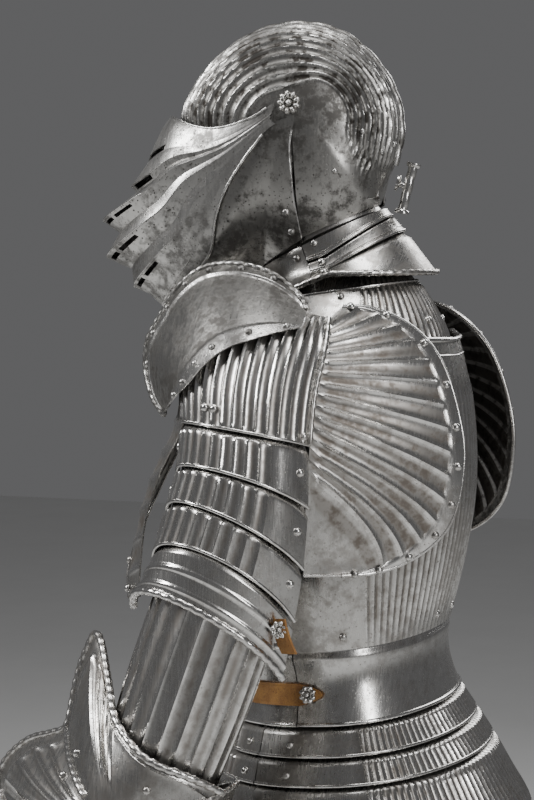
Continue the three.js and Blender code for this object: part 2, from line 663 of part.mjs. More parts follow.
const forward = vec(-Math.sin(rad(FOREARM_TOE)), -Math.cos(rad(FOREARM_DROP)),
  -Math.sin(rad(FOREARM_DROP))).normalize();
const forearm = (reach) => ELBOW.clone().addScaledVector(forward, reach);
addPair(suit, 'lower_cannon', makeTube(
  forearm(36), forearm(236), [[0, 48, 48], [0.35, 45, 44], [1, 35, 33]], 12, 2,
), steel());
// The hand: back plate and curled finger lames in one shell, open at the palm.
function makeHand() {
  // along the hand: half width, rise, turn down of the fingers
  const bones = smooth([[0, 45, 29, 0], [0.35, 50, 29, 0], [0.6, 50, 27, 14], [0.8, 46, 24, 52],
    [1, 40, 20, 96]]);
  const right = vec(1, 0, 0).addScaledVector(forward, -forward.x).normalize();
  const up = right.clone().cross(forward).multiplyScalar(-1).normalize();
  const spine = [forearm(286)];
  const steps = 5;
  for (let k = 1; k <= steps; k += 1) {
    const curl = rad(bones(k / steps)[2]);
    const way = forward.clone().multiplyScalar(Math.cos(curl)).addScaledVector(up, -Math.sin(curl));
    spine.push(spine[k - 1].clone().addScaledVector(way, 32));
  }
  const surface = (u, v) => {
    const k = Math.min(Math.floor(v * steps), steps - 1);
    const centre = spine[k].clone().lerp(spine[k + 1], v * steps - k);
    const [wide, rise, turn] = bones(v);
    const lift = up.clone().multiplyScalar(Math.cos(rad(turn))).addScaledVector(forward,
      Math.sin(rad(turn)));
    const angle = rad(mix(-14, 194, u));
    return centre.addScaledVector(right, wide * Math.cos(angle)).addScaledVector(lift,
      rise * Math.sin(angle));
  };
  return thicken(skin(surface, 7, steps), PLATE);
}
// The cuff is riveted fast to the hand, so the gauntlet is one piece.
const cuff = makeTube(forearm(196), forearm(292), [[0, 60, 58], [0.5, 47, 45], [1, 43, 34]], 10, 2);
addPair(suit, 'gauntlet', joined(cuff, makeHand()), steel());

// ---- legs ---------------------------------------------------------------------------------------
const HIP = vec(104, 48, -540);
const KNEE = vec(118, 6, -930);
const ANKLE = vec(128, 22, -1316);
const legPoint = (a, b, t) => a.clone().lerp(b, t);

addPair(suit, 'cuisse', makeTube(
  legPoint(HIP, KNEE, 0.16), legPoint(HIP, KNEE, 0.85), [[0, 86, 92], [0.5, 82, 88],
    [1, 68, 72]], 10, 3, [-50, 230],
), steel());
function makePoleynWing() {
  const surface = (u, v) => {
    const angle = rad(mix(-78, 78, u));
    const reach = mix(20, 74, v);
    return vec(
      KNEE.x + mix(65, 92, v ** 0.7), KNEE.y + 14 + reach * Math.cos(angle),
        KNEE.z + reach * 0.85 * Math.sin(angle),
    );
  };
  return thicken(skin(surface, 7, 2), PLATE);
}
// The poleyn and its side wing are one piece.
const poleynCap = makeTube(
  legPoint(HIP, KNEE, 0.8), legPoint(KNEE, ANKLE, 0.14), [[0, 76, 80], [0.5, 72, 82],
    [1, 68, 76]], 10, 4, [-42, 222],
  vec(0, -8, 0),
);
addPair(suit, 'poleyn', joined(poleynCap, makePoleynWing()), brightSteel());
addPair(suit, 'greave', makeTube(
  legPoint(KNEE, ANKLE, 0.1), legPoint(KNEE, ANKLE, 0.98),
  [[0, 60, 62], [0.3, 61, 66], [0.7, 46, 50], [1, 44, 50]], 12, 4,
), steel());
// The sabaton: a broad-toed shell over the foot, open underneath.
function makeSabaton() {
  // along the foot from heel to toe: half width, height
  const shape = smooth([[0, 38, 72], [0.12, 50, 78], [0.3, 50, 78], [0.55, 54, 64], [0.8, 64, 44],
    [0.94, 62, 34], [1, 50, 20]]);
  const surface = (u, v) => {
    const [wide, high] = shape(v);
    const angle = rad(mix(0, 180, u));
    return vec(
      ANKLE.x + 16 * v + wide * spow(Math.cos(angle), 0.8),
      ANKLE.y + 62 - 300 * v, FLOOR + high * spow(Math.sin(angle), 0.8),
    );
  };
  return thicken(skin(surface, 8, 6), PLATE);
}
addPair(suit, 'sabaton', makeSabaton(), steel());

export default suit;
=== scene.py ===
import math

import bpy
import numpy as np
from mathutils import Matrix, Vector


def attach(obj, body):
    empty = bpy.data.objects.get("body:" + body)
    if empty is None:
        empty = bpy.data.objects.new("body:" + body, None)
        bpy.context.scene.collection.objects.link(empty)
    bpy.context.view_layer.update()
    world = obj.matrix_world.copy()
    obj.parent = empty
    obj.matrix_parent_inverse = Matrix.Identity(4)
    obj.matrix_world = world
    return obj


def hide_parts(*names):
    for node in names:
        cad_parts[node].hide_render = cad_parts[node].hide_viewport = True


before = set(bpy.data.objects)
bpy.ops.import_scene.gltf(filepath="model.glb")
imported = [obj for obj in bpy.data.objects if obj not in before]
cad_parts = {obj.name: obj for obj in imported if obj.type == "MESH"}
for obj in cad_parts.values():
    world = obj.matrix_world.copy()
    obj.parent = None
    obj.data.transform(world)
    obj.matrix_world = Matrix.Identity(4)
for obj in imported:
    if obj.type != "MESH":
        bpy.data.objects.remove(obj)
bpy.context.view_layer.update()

# %% [markdown]
# # A fluted field armour
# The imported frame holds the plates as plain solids. This lesson makes each of them again as sheet
# steel, with its flutes, roped rims, beads and rivets, on the same surfaces and in the same place.
# Every plate starts as a surface, a function of two numbers that run across and down it.

MM = 0.001  # the surfaces are written in millimetres, Blender works in metres
PLATE = 1.4  # thickness of the steel
LAP = 4.4  # how far one lame lies inside the next
print("nodes in the frame:", len(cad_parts))

# %% [markdown]
# ## Reading a plate's shape from a short table
# An armourer thinks in a few sections: how wide and deep the body is at the chest, the waist, the
# hip. A table holds those sections, and a smooth curve runs through its rows, so a plate needs only
# as many rows as it has real sections.

# %% Smooth tables and curves
def smooth(rows):
    """A function of the first column that gives the others, smoothly between the rows."""
    rows = np.array(rows, float)
    sign = 1.0 if rows[-1, 0] > rows[0, 0] else -1.0
    keys, values = rows[:, 0] * sign, rows[:, 1:]

    def read(key):
        x = np.asarray(key, float) * sign
        i = np.clip(np.searchsorted(keys, x, side="left") - 1, 0, len(keys) - 2)
        before, after = np.maximum(i - 1, 0), np.minimum(i + 2, len(keys) - 1)
        span = keys[i + 1] - keys[i]
        t = np.clip((x - keys[i]) / span, 0, 1)[..., None]
        start, end = values[i], values[i + 1]
        slope_a = (end - values[before]) * (span / (keys[i + 1] - keys[before]))[..., None]
        slope_b = (values[after] - start) * (span / (keys[after] - keys[i]))[..., None]
        t2, t3 = t * t, t * t * t
        return ((2 * t3 - 3 * t2 + 1) * start + (t3 - 2 * t2 + t) * slope_a
                + (3 * t2 - 2 * t3) * end + (t3 - t2) * slope_b)

    return read


def along_rows(rows, v):
    """The rows in straight steps, 0 the first row and 1 the last."""
    rows = np.array(rows, float)
    place = np.asarray(v, float) * (len(rows) - 1)
    i = np.clip(np.floor(place).astype(int), 0, len(rows) - 2)
    t = (place - i)[..., None]
    return rows[i] * (1 - t) + rows[i + 1] * t


def path(points):
    """A smooth curve through the points, read from 0 to 1 by length."""
    p = np.array(points, float)
    p = np.vstack([2 * p[0] - p[1], p, 2 * p[-1] - p[-2]])
    dense = []
    for a, b, c, d in zip(p, p[1:], p[2:], p[3:]):
        ab, bc, cd = (math.sqrt(np.linalg.norm(y - x)) for x, y in ((a, b), (b, c), (c, d)))
        m1 = ((b - a) / ab - (c - a) / (ab + bc) + (c - b) / bc) * bc
        m2 = ((c - b) / bc - (d - b) / (bc + cd) + (d - c) / cd) * bc
        t = np.linspace(0, 1, 60)[:, None]
        dense.append(b + m1 * t + (3 * (c - b) - 2 * m1 - m2) * t ** 2 + (2 * (b - c) + m1 + m2) * t ** 3)
    dense = np.vstack(dense)
    steps = np.concatenate([[0], np.cumsum(np.linalg.norm(np.diff(dense, axis=0), axis=1))])
    steps = steps / steps[-1]

    def read(t):
        t = np.clip(np.asarray(t, float), 0, 1)
        return np.stack([np.interp(t, steps, dense[:, k]) for k in range(3)], -1)

    return read


def unit(v):
    return v / np.maximum(np.linalg.norm(v, axis=-1, keepdims=True), 1e-9)


def mix(a, b, t):
    return a + (b - a) * t


def spow(a, e):
    return np.sign(a) * np.abs(a) ** e


def bump(v):
    return 4 * v * (1 - v)


def ramp(x, a, b):
    """0 before a, 1 past b, with a soft step between."""
    t = np.clip((x - a) / (b - a), 0, 1)
    return t * t * (3 - 2 * t)


def rad(a):
    return np.radians(a)


print("halfway along a quarter bend:", path([[0, 0, 0], [7, 3, 0], [10, 10, 0]])(0.5).round(1))

# %% [markdown]
# ## From a surface to a sheet of steel
# A real plate has two faces and an edge. `sheet` lays a grid of points on the surface, lifts it by a
# relief (the flutes), and sets a second skin one plate's thickness behind. Faces can be left out to
# cut a slit. Building the grid point by point keeps a row of points exactly on each ridge, which a modifier
# could not do.

# %% A sheet of steel
OUTSIDE, INSIDE = 0, 1  # material slots of a piece


def normals_of(surface, u, v, wrap=False):
    step = 1e-4
    ua, ub = (u - step, u + step) if wrap else (np.clip(u - step, 0, 1), np.clip(u + step, 0, 1))
    va, vb = np.clip(v - step, 0, 1), np.clip(v + step, 0, 1)
    return unit(np.cross(surface(ub, v) - surface(ua, v), surface(u, vb) - surface(u, va)))


def outward(points, normals):
    flat, n = points.reshape(-1, 3), normals.reshape(-1, 3)
    return 1.0 if np.sum(n * (flat - flat.mean(0))) > 0 else -1.0


def sheet(surface, us, vs, relief=None, thick=PLATE, wrap=False, keep=None, facing=None):
    """One plate: points, four-sided faces, a material per face and a height per point."""
    us, vs = np.asarray(us, float), np.asarray(vs, float)
    if wrap:
        us = us[:-1]
    u, v = np.meshgrid(us, vs)
    points = surface(u, v)
    normals = normals_of(surface, u, v, wrap)
    sign = facing or outward(points, normals)
    normals = normals * sign
    height = relief(u, v) if relief else np.zeros(u.shape)
    outer = (points + normals * height[..., None]).reshape(-1, 3)
    inner = outer - normals.reshape(-1, 3) * thick
    rows, columns = u.shape
    j, i = np.meshgrid(np.arange(rows - 1), np.arange(columns if wrap else columns - 1), indexing="ij")
    a, b = j * columns + i, j * columns + (i + 1) % columns
    quads = np.stack([a, b, b + columns, a + columns], -1)
    if keep is not None:
        middle_u, middle_v = 0.5 * (us[:-1] + us[1:]), 0.5 * (vs[:-1] + vs[1:])
        quads = quads[keep(*np.meshgrid(middle_u, middle_v))]
    quads = quads.reshape(-1, 4)
    if sign < 0:
        quads = quads[:, ::-1]
    count = len(outer)
    start, end = quads.ravel(), np.roll(quads, -1, axis=1).ravel()
    one_way, other_way = start * count + end, end * count + start
    free = ~np.isin(one_way, other_way)
    p, q = start[free], end[free]
    walls = np.stack([q, p, p + count, q + count], -1)
    faces = np.vstack([quads, quads[:, ::-1] + count, walls])
    slots = np.concatenate([np.full(len(quads), OUTSIDE), np.full(len(quads), INSIDE),
                            np.full(len(walls), OUTSIDE)])
    level = np.concatenate([height.ravel(), height.ravel()])
    return np.vstack([outer, inner]), faces, slots, level


def even(count):
    return np.linspace(0, 1, count + 1)


def showing(count, hidden=0.667):
    """Rows for a lapped lame: few where the plate above covers it, many where it shows."""
    return np.concatenate([hidden * even(8)[:-1], hidden + (1 - hidden) * even(count)])


test_points, test_faces, _, _ = sheet(lambda u, v: np.stack([u * 40, v * 30, 0 * u], -1), even(4), even(3))
print("a flat sheet of 4 by 3:", len(test_points), "points,", len(test_faces), "faces")

# %% [markdown]
# ## Flutes
# A fluted armour gets its stiffness from narrow ridges hammered up between flat bands. A ridge is a
# steep-sided crest, so the grid gets a column on its top and on both its feet. `columns_for` gives
# the columns to use and `crest_height` the height between them.

# %% Ridges on a sheet
def columns_for(crests, foot, extra=()):
    """Grid columns with points on each crest, on its flanks and feet and between it and the next."""
    crests = np.sort(np.asarray(crests, float))
    between = 0.5 * (crests[1:] + crests[:-1])
    marks = [crests + foot * k for k in (-1, -0.45, 0, 0.45, 1)]
    marks += [between, np.array([0.0, 1.0]), np.asarray(extra, float)]
    marks = np.unique(np.round(np.clip(np.concatenate(marks), 0, 1), 6))
    keep = np.concatenate([[True], np.diff(marks) > foot * 0.2])
    return marks[keep]


def crest_height(x, crests, foot, hollow=0.25):
    """1 on a crest, 0 at its foot, and a shallow hollow between two crests."""
    crests = np.sort(np.asarray(crests, float))
    away = np.abs(x[..., None] - crests).min(-1)
    peak = np.clip(1 - away / foot, 0, 1) ** 1.25
    pitch = np.median(np.diff(crests))
    band = np.clip((away - foot) / max(pitch * 0.5 - foot, 1e-6), 0, 1)
    inside = (x > crests[0] - pitch * 0.5) & (x < crests[-1] + pitch * 0.5)
    return peak - hollow * np.sin(np.pi * 0.5 * band) * inside


print("columns for three ridges:", columns_for([0.25, 0.5, 0.75], 0.04).round(2))

# %% [markdown]
# ## Rims, ropes and rivets
# Plate edges are turned over a wire, and on the showy ones the turn is filed to look like a rope.
# `tube` sweeps a section along an edge; for a rope its radius dips along a slanting groove. A rivet
# is a low dome set on the surface, so it needs the surface's point and normal.

# %% Tubes, ropes, rivets
def resample(points, step):
    points = np.asarray(points, float)
    length = np.concatenate([[0], np.cumsum(np.linalg.norm(np.diff(points, axis=0), axis=1))])
    t = np.linspace(0, length[-1], max(int(length[-1] / step), 4) + 1)
    return np.stack([np.interp(t, length, points[:, k]) for k in range(3)], -1), t


def tube(points, radius, sides=8, step=4.0, groove=None, closed=False):
    """A bar along the points. groove = (length of one strand, depth as a share of the radius)."""
    line, s = resample(points, step)
    if closed:
        line, s = line[:-1], s[:-1]
        tangent = unit(np.roll(line, -1, axis=0) - np.roll(line, 1, axis=0))
    else:
        tangent = unit(np.gradient(line, axis=0))
    side = unit(np.cross(tangent[0], [0.3, 0.5, 0.8]))
    frames = []
    for t in tangent:
        side = unit(side - t * np.dot(side, t))
        frames.append((side, np.cross(t, side)))
    turn = np.arange(sides) * 2 * np.pi / sides
    r = np.broadcast_to(np.asarray(radius, float), s.shape)[:, None] * np.ones(sides)
    level = np.ones(r.shape)
    if groove:
        pitch, depth = groove
        strand = np.abs(np.cos(np.pi * s[:, None] / pitch + turn[None, :] * 0.5))
        level = strand ** 0.6
        r = r * (1 - depth + depth * level)
    a, b = np.array([f[0] for f in frames]), np.array([f[1] for f in frames])
    points = (line[:, None, :] + r[..., None] * (np.cos(turn)[None, :, None] * a[:, None, :]
                                                 + np.sin(turn)[None, :, None] * b[:, None, :]))
    rows = len(line)
    j, i = np.meshgrid(np.arange(rows if closed else rows - 1), np.arange(sides), indexing="ij")
    k, m = (i + 1) % sides, (j + 1) % rows
    quads = np.stack([j * sides + i, j * sides + k, m * sides + k, m * sides + i], -1).reshape(-1, 4)
    verts = points.reshape(-1, 3)
    # the level feeds painted light: a rope's groove gets a low level that the steel darkens as painted shade, a plain
    # bar a full level that it lightens as a painted highlight
    level = level.ravel() * 1.6 - 0.6
    if not closed:
        caps = []
        for row, flip in ((0, True), (rows - 1, False)):
            centre = len(verts)
            verts = np.vstack([verts, line[row], line[row]])
            level = np.concatenate([level, [1, 1]])
            ring = row * sides + np.arange(sides)
            cap = np.stack([ring, np.roll(ring, -1), np.full(sides, centre), np.full(sides, centre + 1)], -1)
            caps.append(cap[:, ::-1] if flip else cap)
        quads = np.vstack([quads] + caps)
    return verts, quads, np.full(len(quads), OUTSIDE), level


def rope(points, radius, closed=False, pitch=9.0):
    return tube(points, radius, sides=10, step=pitch / 5, groove=(pitch, 0.3), closed=closed)


def turned(profile, centre, axis, sides=12):
    """A lathe-turned head: (radius, height) pairs about an axis."""
    axis = unit(np.asarray(axis, float))
    a = unit(np.cross(axis, [0.31, 0.87, 0.39]))
    b = np.cross(axis, a)
    turn = np.arange(sides) * 2 * np.pi / sides
    verts = np.array([centre + axis * h + r * (math.cos(t) * a + math.sin(t) * b) for r, h in profile for t in turn])
    j, i = np.meshgrid(np.arange(len(profile) - 1), np.arange(sides), indexing="ij")
    k = (i + 1) % sides
    quads = np.stack([j * sides + i, j * sides + k, (j + 1) * sides + k, (j + 1) * sides + i], -1).reshape(-1, 4)
    # a rivet head gets a level of 0.7, which the steel lightens as a painted highlight
    return verts, quads, np.full(len(quads), OUTSIDE), np.full(len(verts), 0.7)


DOME = [(1.0, -0.15), (1.0, 0.15), (0.92, 0.42), (0.72, 0.66), (0.4, 0.82), (0.02, 0.88)]


RIVET_SIZE = 1.3


def rivet(point, normal, radius=3.0):
    return turned([(r * radius, h * radius) for r, h in DOME], point, normal)


def rivets(surface, places, radius=3.0, lift=0.0):
    """Rivets at (u, v) places of a surface, on its outer face."""
    parts = []
    u, v = np.meshgrid(np.linspace(0, 1, 9), np.linspace(0, 1, 9))
    facing = outward(surface(u, v), normals_of(surface, u, v))
    for u, v in places:
        at = surface(np.array(u), np.array(v))
        normal = normals_of(surface, np.array(u), np.array(v)) * facing
        parts.append(rivet(at + normal * lift, normal, radius * RIVET_SIZE))
    return parts


def joined(parts):
    verts, faces, slots, level, count = [], [], [], [], 0
    for v, f, s, h in parts:
        verts.append(v)
        faces.append(f + count)
        slots.append(s)
        level.append(h)
        count += len(v)
    return np.vstack(verts), np.vstack(faces), np.concatenate(slots), np.concatenate(level)


print("one rivet has", len(rivet(np.zeros(3), [0, 0, 1])[0]), "points")

# %% [markdown]
# ## Old polished steel
# The plates are bright where they were rubbed and brown-black where damp sat, with painted shade in
# the hollows and a painted highlight on the crests. One node group holds that: broad stains, small dark
# pits in clusters, fine polishing scratches, a dull film with painted shade in the hollows between ridges
# and bright wear with a painted highlight on the crests. Every steel uses the group with its own
# values, so the suit looks like one maker's work with plates of different age.

# %% Node groups for steel and leather
def group(name, inputs, outputs):
    tree = bpy.data.node_groups.new(name, "ShaderNodeTree")
    for label, kind, value in inputs:
        socket = tree.interface.new_socket(label, in_out="INPUT", socket_type=kind)
        socket.default_value = value
    for label, kind in outputs:
        tree.interface.new_socket(label, in_out="OUTPUT", socket_type=kind)
    return tree, tree.nodes.new("NodeGroupInput"), tree.nodes.new("NodeGroupOutput")


def node(tree, kind, **values):
    made = tree.nodes.new(kind)
    for key, value in values.items():
        if hasattr(made, key):
            setattr(made, key, value)
        else:
            made.inputs[key.replace("_", " ")].default_value = value
    return made


def noise(tree, where, scale, detail=4.0, roughness=0.6):
    made = node(tree, "ShaderNodeTexNoise", Scale=scale, Detail=detail, Roughness=roughness)
    tree.links.new(where, made.inputs["Vector"])
    return made.outputs["Fac"]


def spread(tree, value, low, high, to_low=0.0, to_high=1.0):
    """Stretch the part of a value between low and high over a new range."""
    made = node(tree, "ShaderNodeMapRange", interpolation_type="SMOOTHSTEP")
    for k, number in zip((1, 2, 3, 4), (low, high, to_low, to_high)):
        made.inputs[k].default_value = number
    tree.links.new(value, made.inputs[0])
    return made.outputs[0]


def maths(tree, operation, a, b, clamp=False):
    made = node(tree, "ShaderNodeMath", operation=operation, use_clamp=clamp)
    for socket, value in zip(made.inputs, (a, b)):
        if isinstance(value, (int, float)):
            socket.default_value = value
        else:
            tree.links.new(value, socket)
    return made.outputs[0]


def blend_colours(tree, share, a, b):
    made = node(tree, "ShaderNodeMix", data_type="RGBA")
    tree.links.new(share, made.inputs["Factor"])
    for socket, value in ((made.inputs[6], a), (made.inputs[7], b)):
        if isinstance(value, (tuple, list)):
            socket.default_value = value
        else:
            tree.links.new(value, socket)
    return made.outputs[2]


def make_old_steel_with_painted_light():
    tree, given, put = group(
        "old steel with painted light",
        [("Bright", "NodeSocketColor", (0.6, 0.59, 0.57, 1)), ("Stain", "NodeSocketColor", (0.2, 0.17, 0.14, 1)),
         ("Pitting", "NodeSocketFloat", 0.3), ("Staining", "NodeSocketFloat", 0.4),
         ("Roughness", "NodeSocketFloat", 0.3)],
        [("Colour", "NodeSocketColor"), ("Roughness", "NodeSocketFloat"), ("Height", "NodeSocketFloat")])
    where = node(tree, "ShaderNodeTexCoord").outputs["Object"]
    level = node(tree, "ShaderNodeAttribute", attribute_name="ridge").outputs["Fac"]
    broad = noise(tree, where, 11.0, 5.0, 0.62)
    mottle = noise(tree, where, 75.0, 6.0, 0.7)
    fine = noise(tree, where, 420.0, 3.0, 0.6)
    pits = node(tree, "ShaderNodeTexVoronoi", Scale=230.0, Randomness=1.0)
    tree.links.new(where, pits.inputs["Vector"])
    scratch_place = node(tree, "ShaderNodeMapping")
    scratch_place.inputs["Scale"].default_value = (40.0, 900.0, 60.0)
    scratch_place.inputs["Rotation"].default_value = (0.3, 0.2, 0.5)
    tree.links.new(where, scratch_place.inputs["Vector"])
    scratches = noise(tree, scratch_place.outputs[0], 1.0, 2.0, 0.5)

    clusters = spread(tree, maths(tree, "ADD", maths(tree, "MULTIPLY", broad, 0.5), maths(tree, "MULTIPLY", mottle, 0.6)),
                      0.5, 0.64)
    stains_and_hollow_shade = maths(tree, "MULTIPLY", clusters, given.outputs["Staining"])
    # painted shade: where the ridge level is low, in the hollows between ridges and the grooves of ropes, the steel is
    # darkened together with a dull film there
    hollow = spread(tree, level, 0.05, -0.5)
    stains_and_hollow_shade = maths(tree, "ADD", stains_and_hollow_shade, maths(tree, "MULTIPLY", hollow, 0.42), clamp=True)
    specks = spread(tree, maths(tree, "ADD", pits.outputs["Distance"], maths(tree, "MULTIPLY", mottle, -0.55)),
                    0.05, -0.12)
    specks = maths(tree, "MULTIPLY", specks, maths(tree, "MULTIPLY", given.outputs["Pitting"],
                                                 spread(tree, fine, 0.35, 0.6)), clamp=True)
    dark = maths(tree, "MAXIMUM", stains_and_hollow_shade, specks)
    # painted highlight: where the ridge level is high, on crests, plain rims and rivet heads, the colour is lightened
    # towards a pale grey together with their polished wear; the same mask lowers the roughness
    wear_and_crest_highlight = maths(tree, "MULTIPLY", spread(tree, level, 0.35, 1.0), 0.55)
    bright = blend_colours(tree, wear_and_crest_highlight, given.outputs["Bright"], (0.86, 0.85, 0.83, 1))
    grain = blend_colours(tree, spread(tree, mottle, 0.35, 0.75, 0.0, 0.16), bright, given.outputs["Stain"])
    colour = blend_colours(tree, dark, grain, given.outputs["Stain"])
    rough = maths(tree, "ADD", given.outputs["Roughness"], maths(tree, "MULTIPLY", dark, 0.34))
    rough = maths(tree, "ADD", rough, spread(tree, scratches, 0.35, 0.7, -0.03, 0.04))
    rough = maths(tree, "SUBTRACT", rough, maths(tree, "MULTIPLY", wear_and_crest_highlight, 0.12), clamp=True)
    height = maths(tree, "SUBTRACT", maths(tree, "MULTIPLY", scratches, 0.03), maths(tree, "MULTIPLY", dark, 0.7))
    height = maths(tree, "ADD", height, maths(tree, "MULTIPLY", fine, 0.1))
    tree.links.new(colour, put.inputs["Colour"])
    tree.links.new(rough, put.inputs["Roughness"])
    tree.links.new(height, put.inputs["Height"])
    return tree


old_steel_with_painted_light = make_old_steel_with_painted_light()


def metal(name, bright, stain, pitting, staining, roughness, metallic=1.0, bump=0.35):
    material = bpy.data.materials.new(name)
    material.use_nodes = True
    tree = material.node_tree
    shader = tree.nodes["Principled BSDF"]
    made = tree.nodes.new("ShaderNodeGroup")
    made.node_tree = old_steel_with_painted_light
    for label, value in (("Bright", bright), ("Stain", stain), ("Pitting", pitting), ("Staining", staining),
                         ("Roughness", roughness)):
        made.inputs[label].default_value = value
    raised = node(tree, "ShaderNodeBump", Strength=bump, Distance=0.0006)
    shader.inputs["Metallic"].default_value = metallic
    tree.links.new(made.outputs["Colour"], shader.inputs["Base Color"])
    tree.links.new(made.outputs["Roughness"], shader.inputs["Roughness"])
    tree.links.new(made.outputs["Height"], raised.inputs["Height"])
    tree.links.new(raised.outputs["Normal"], shader.inputs["Normal"])
    return material


BROWN = (0.115, 0.085, 0.06, 1)
BLACK = (0.05, 0.045, 0.04, 1)
plate_steel = metal("plate steel", (0.56, 0.55, 0.53, 1), BROWN, 0.5, 0.35, 0.27)
bright_steel = metal("bright steel", (0.68, 0.67, 0.65, 1), BROWN, 0.35, 0.22, 0.22)
dark_steel = metal("dark pitted steel", (0.45, 0.44, 0.42, 1), BLACK, 0.9, 0.75, 0.3)
visor_steel = metal("pitted visor steel", (0.62, 0.61, 0.59, 1), BLACK, 1.0, 0.62, 0.3)
inside_steel = metal("blackened inside", (0.12, 0.11, 0.1, 1), BLACK, 0.4, 0.8, 0.5)
print("steels made with the group:", old_steel_with_painted_light.name)

# %% [markdown]
# ## Strap leather
# The straps are thick ochre-brown hide, darker where hands and buckles rubbed. The grain is a small
# cell pattern, and the colour drifts over the length of the strap. Only the straps use it, so it is
# a plain material with no group.

# %% Leather
def make_leather():
    material = bpy.data.materials.new("ochre strap leather")
    material.use_nodes = True
    tree = material.node_tree
    shader = tree.nodes["Principled BSDF"]
    where = node(tree, "ShaderNodeTexCoord").outputs["Object"]
    cells = node(tree, "ShaderNodeTexVoronoi", Scale=900.0, feature="DISTANCE_TO_EDGE")
    tree.links.new(where, cells.inputs["Vector"])
    drift = noise(tree, where, 45.0, 5.0, 0.65)
    colour = blend_colours(tree, spread(tree, drift, 0.3, 0.7), (0.30, 0.13, 0.035, 1), (0.56, 0.29, 0.075, 1))
    creased = blend_colours(tree, spread(tree, cells.outputs["Distance"], 0.0, 0.12), (0.12, 0.05, 0.018, 1), colour)
    height = maths(tree, "ADD", spread(tree, cells.outputs["Distance"], 0.0, 0.2), drift)
    raised = node(tree, "ShaderNodeBump", Strength=0.5, Distance=0.0005)
    tree.links.new(creased, shader.inputs["Base Color"])
    tree.links.new(spread(tree, drift, 0.3, 0.7, 0.62, 0.42), shader.inputs["Roughness"])
    tree.links.new(height, raised.inputs["Height"])
    tree.links.new(raised.outputs["Normal"], shader.inputs["Normal"])
    return material


strap_leather = make_leather()
print("leather:", strap_leather.name)

# %% [markdown]
# ## From points to a piece of the suit
# A finished piece is one mesh: its sheet, its rims and its rivets. It rides on the body that carries
# it and stands for the plain solid of the same name. Left and right pieces are the same work,
# mirrored in the suit's middle plane.

# %% Making a piece
SHARP = math.radians(52)  # a fold steeper than this keeps a hard edge
total = {"pieces": 0, "triangles": 0}


def identity(points):
    return points


def piece(name, parts, material, body="suit", place=identity, mirror=False, nodes=None):
    points, faces, slots, level = joined(parts)
    points = place(points)
    if mirror:
        points = points * np.array([-1.0, 1.0, 1.0])
        faces = faces[:, ::-1]
    mesh = bpy.data.meshes.new(name)
    mesh.vertices.add(len(points))
    mesh.vertices.foreach_set("co", (points * MM).ravel())
    mesh.loops.add(faces.size)
    mesh.loops.foreach_set("vertex_index", faces.ravel())
    mesh.polygons.add(len(faces))
    mesh.polygons.foreach_set("loop_start", np.arange(0, faces.size, 4))
    mesh.update(calc_edges=True)
    mesh.polygons.foreach_set("material_index", slots)
    # the ridge attribute holds the relief height, which the steel turns into painted shade in hollows and a painted
    # highlight on crests
    ridge = mesh.attributes.new("ridge", "FLOAT", "POINT")
    ridge.data.foreach_set("value", level)
    mesh.validate()
    mesh.set_sharp_from_angle(angle=SHARP)
    made = bpy.data.objects.new(f"made_{name}", mesh)
    bpy.context.scene.collection.objects.link(made)
    for each in (material, inside_steel):
        mesh.materials.append(each)
    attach(made, body)
    replaced = [name] if nodes is None else nodes
    if replaced:
        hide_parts(*replaced)
    total["pieces"] += 1
    total["triangles"] += 2 * len(faces)
    return made


def pair(name, parts, material, place=identity):
    piece(f"{name}_l", parts, material, place=place)
    piece(f"{name}_r", parts, material, place=place, mirror=True)


print("a fold counts as sharp beyond", round(math.degrees(SHARP)), "degrees")

# %% [markdown]
# ## The helmet's own frame
# The helmet nods and turns on the suit, and its visor swings about a pin through both sides. It is
# easiest to shape in a frame of its own: the pin is the x axis, and a point is given by its angle
# about the pin and by how far it has come from the pin towards the middle of the head. Any plate
# made of such points can swing about the pin without touching the one under it.

# %% Helmet frame
PIVOT = np.array([0, -36.4, 229.9])
HELM_NOD, HELM_TURN = rad(24.5), rad(10)
SKULL_SIDE = 94  # pin's end to the middle plane
HELM_FORM = 2.3  # exponent of the cross sections
BEVOR_OUT, VISOR_OUT = 4.6, 9.2
NECK_LEVEL, NECK_MIDDLE, NECK_LONG, NECK_WIDE = -130, 37, 75, 66

cn, sn, ct, st = math.cos(HELM_NOD), math.sin(HELM_NOD), math.cos(HELM_TURN), math.sin(HELM_TURN)
helm_turn = np.array([[ct, -st, 0], [st, ct, 0], [0, 0, 1]]) @ np.array([[1, 0, 0], [0, cn, -sn], [0, sn, cn]])


def helm_place(points):
    return points @ helm_turn.T + PIVOT


def on_helm(angle, distance, side):
    return np.stack([side, -distance * np.cos(rad(angle)), distance * np.sin(rad(angle))], -1)


def helm_cross(rim, wide, turn):
    return rim * np.cos(rad(turn)) ** (2 / HELM_FORM), wide * np.sin(rad(turn)) ** (2 / HELM_FORM)


skull_rim = smooth([
    [22, 138], [34, 129], [45, 120.5], [60, 111], [75, 104.5], [90, 100], [107, 96.5], [125, 95],
    [142, 94.8], [159, 94.6], [178, 98], [195, 103.5], [210, 109.5], [222, 114], [233, 118], [244, 124], [254, 136]])
bevor_rim = smooth([[-4, 186], [-10, 222], [-18, 238], [-26, 246], [-32, 246], [-36, 226], [-43, 193], [-50, 171]])
brow_edge = smooth([[0, -8], [0.25, -14], [0.4, -8], [0.6, 0], [0.8, 8], [1, 17]])


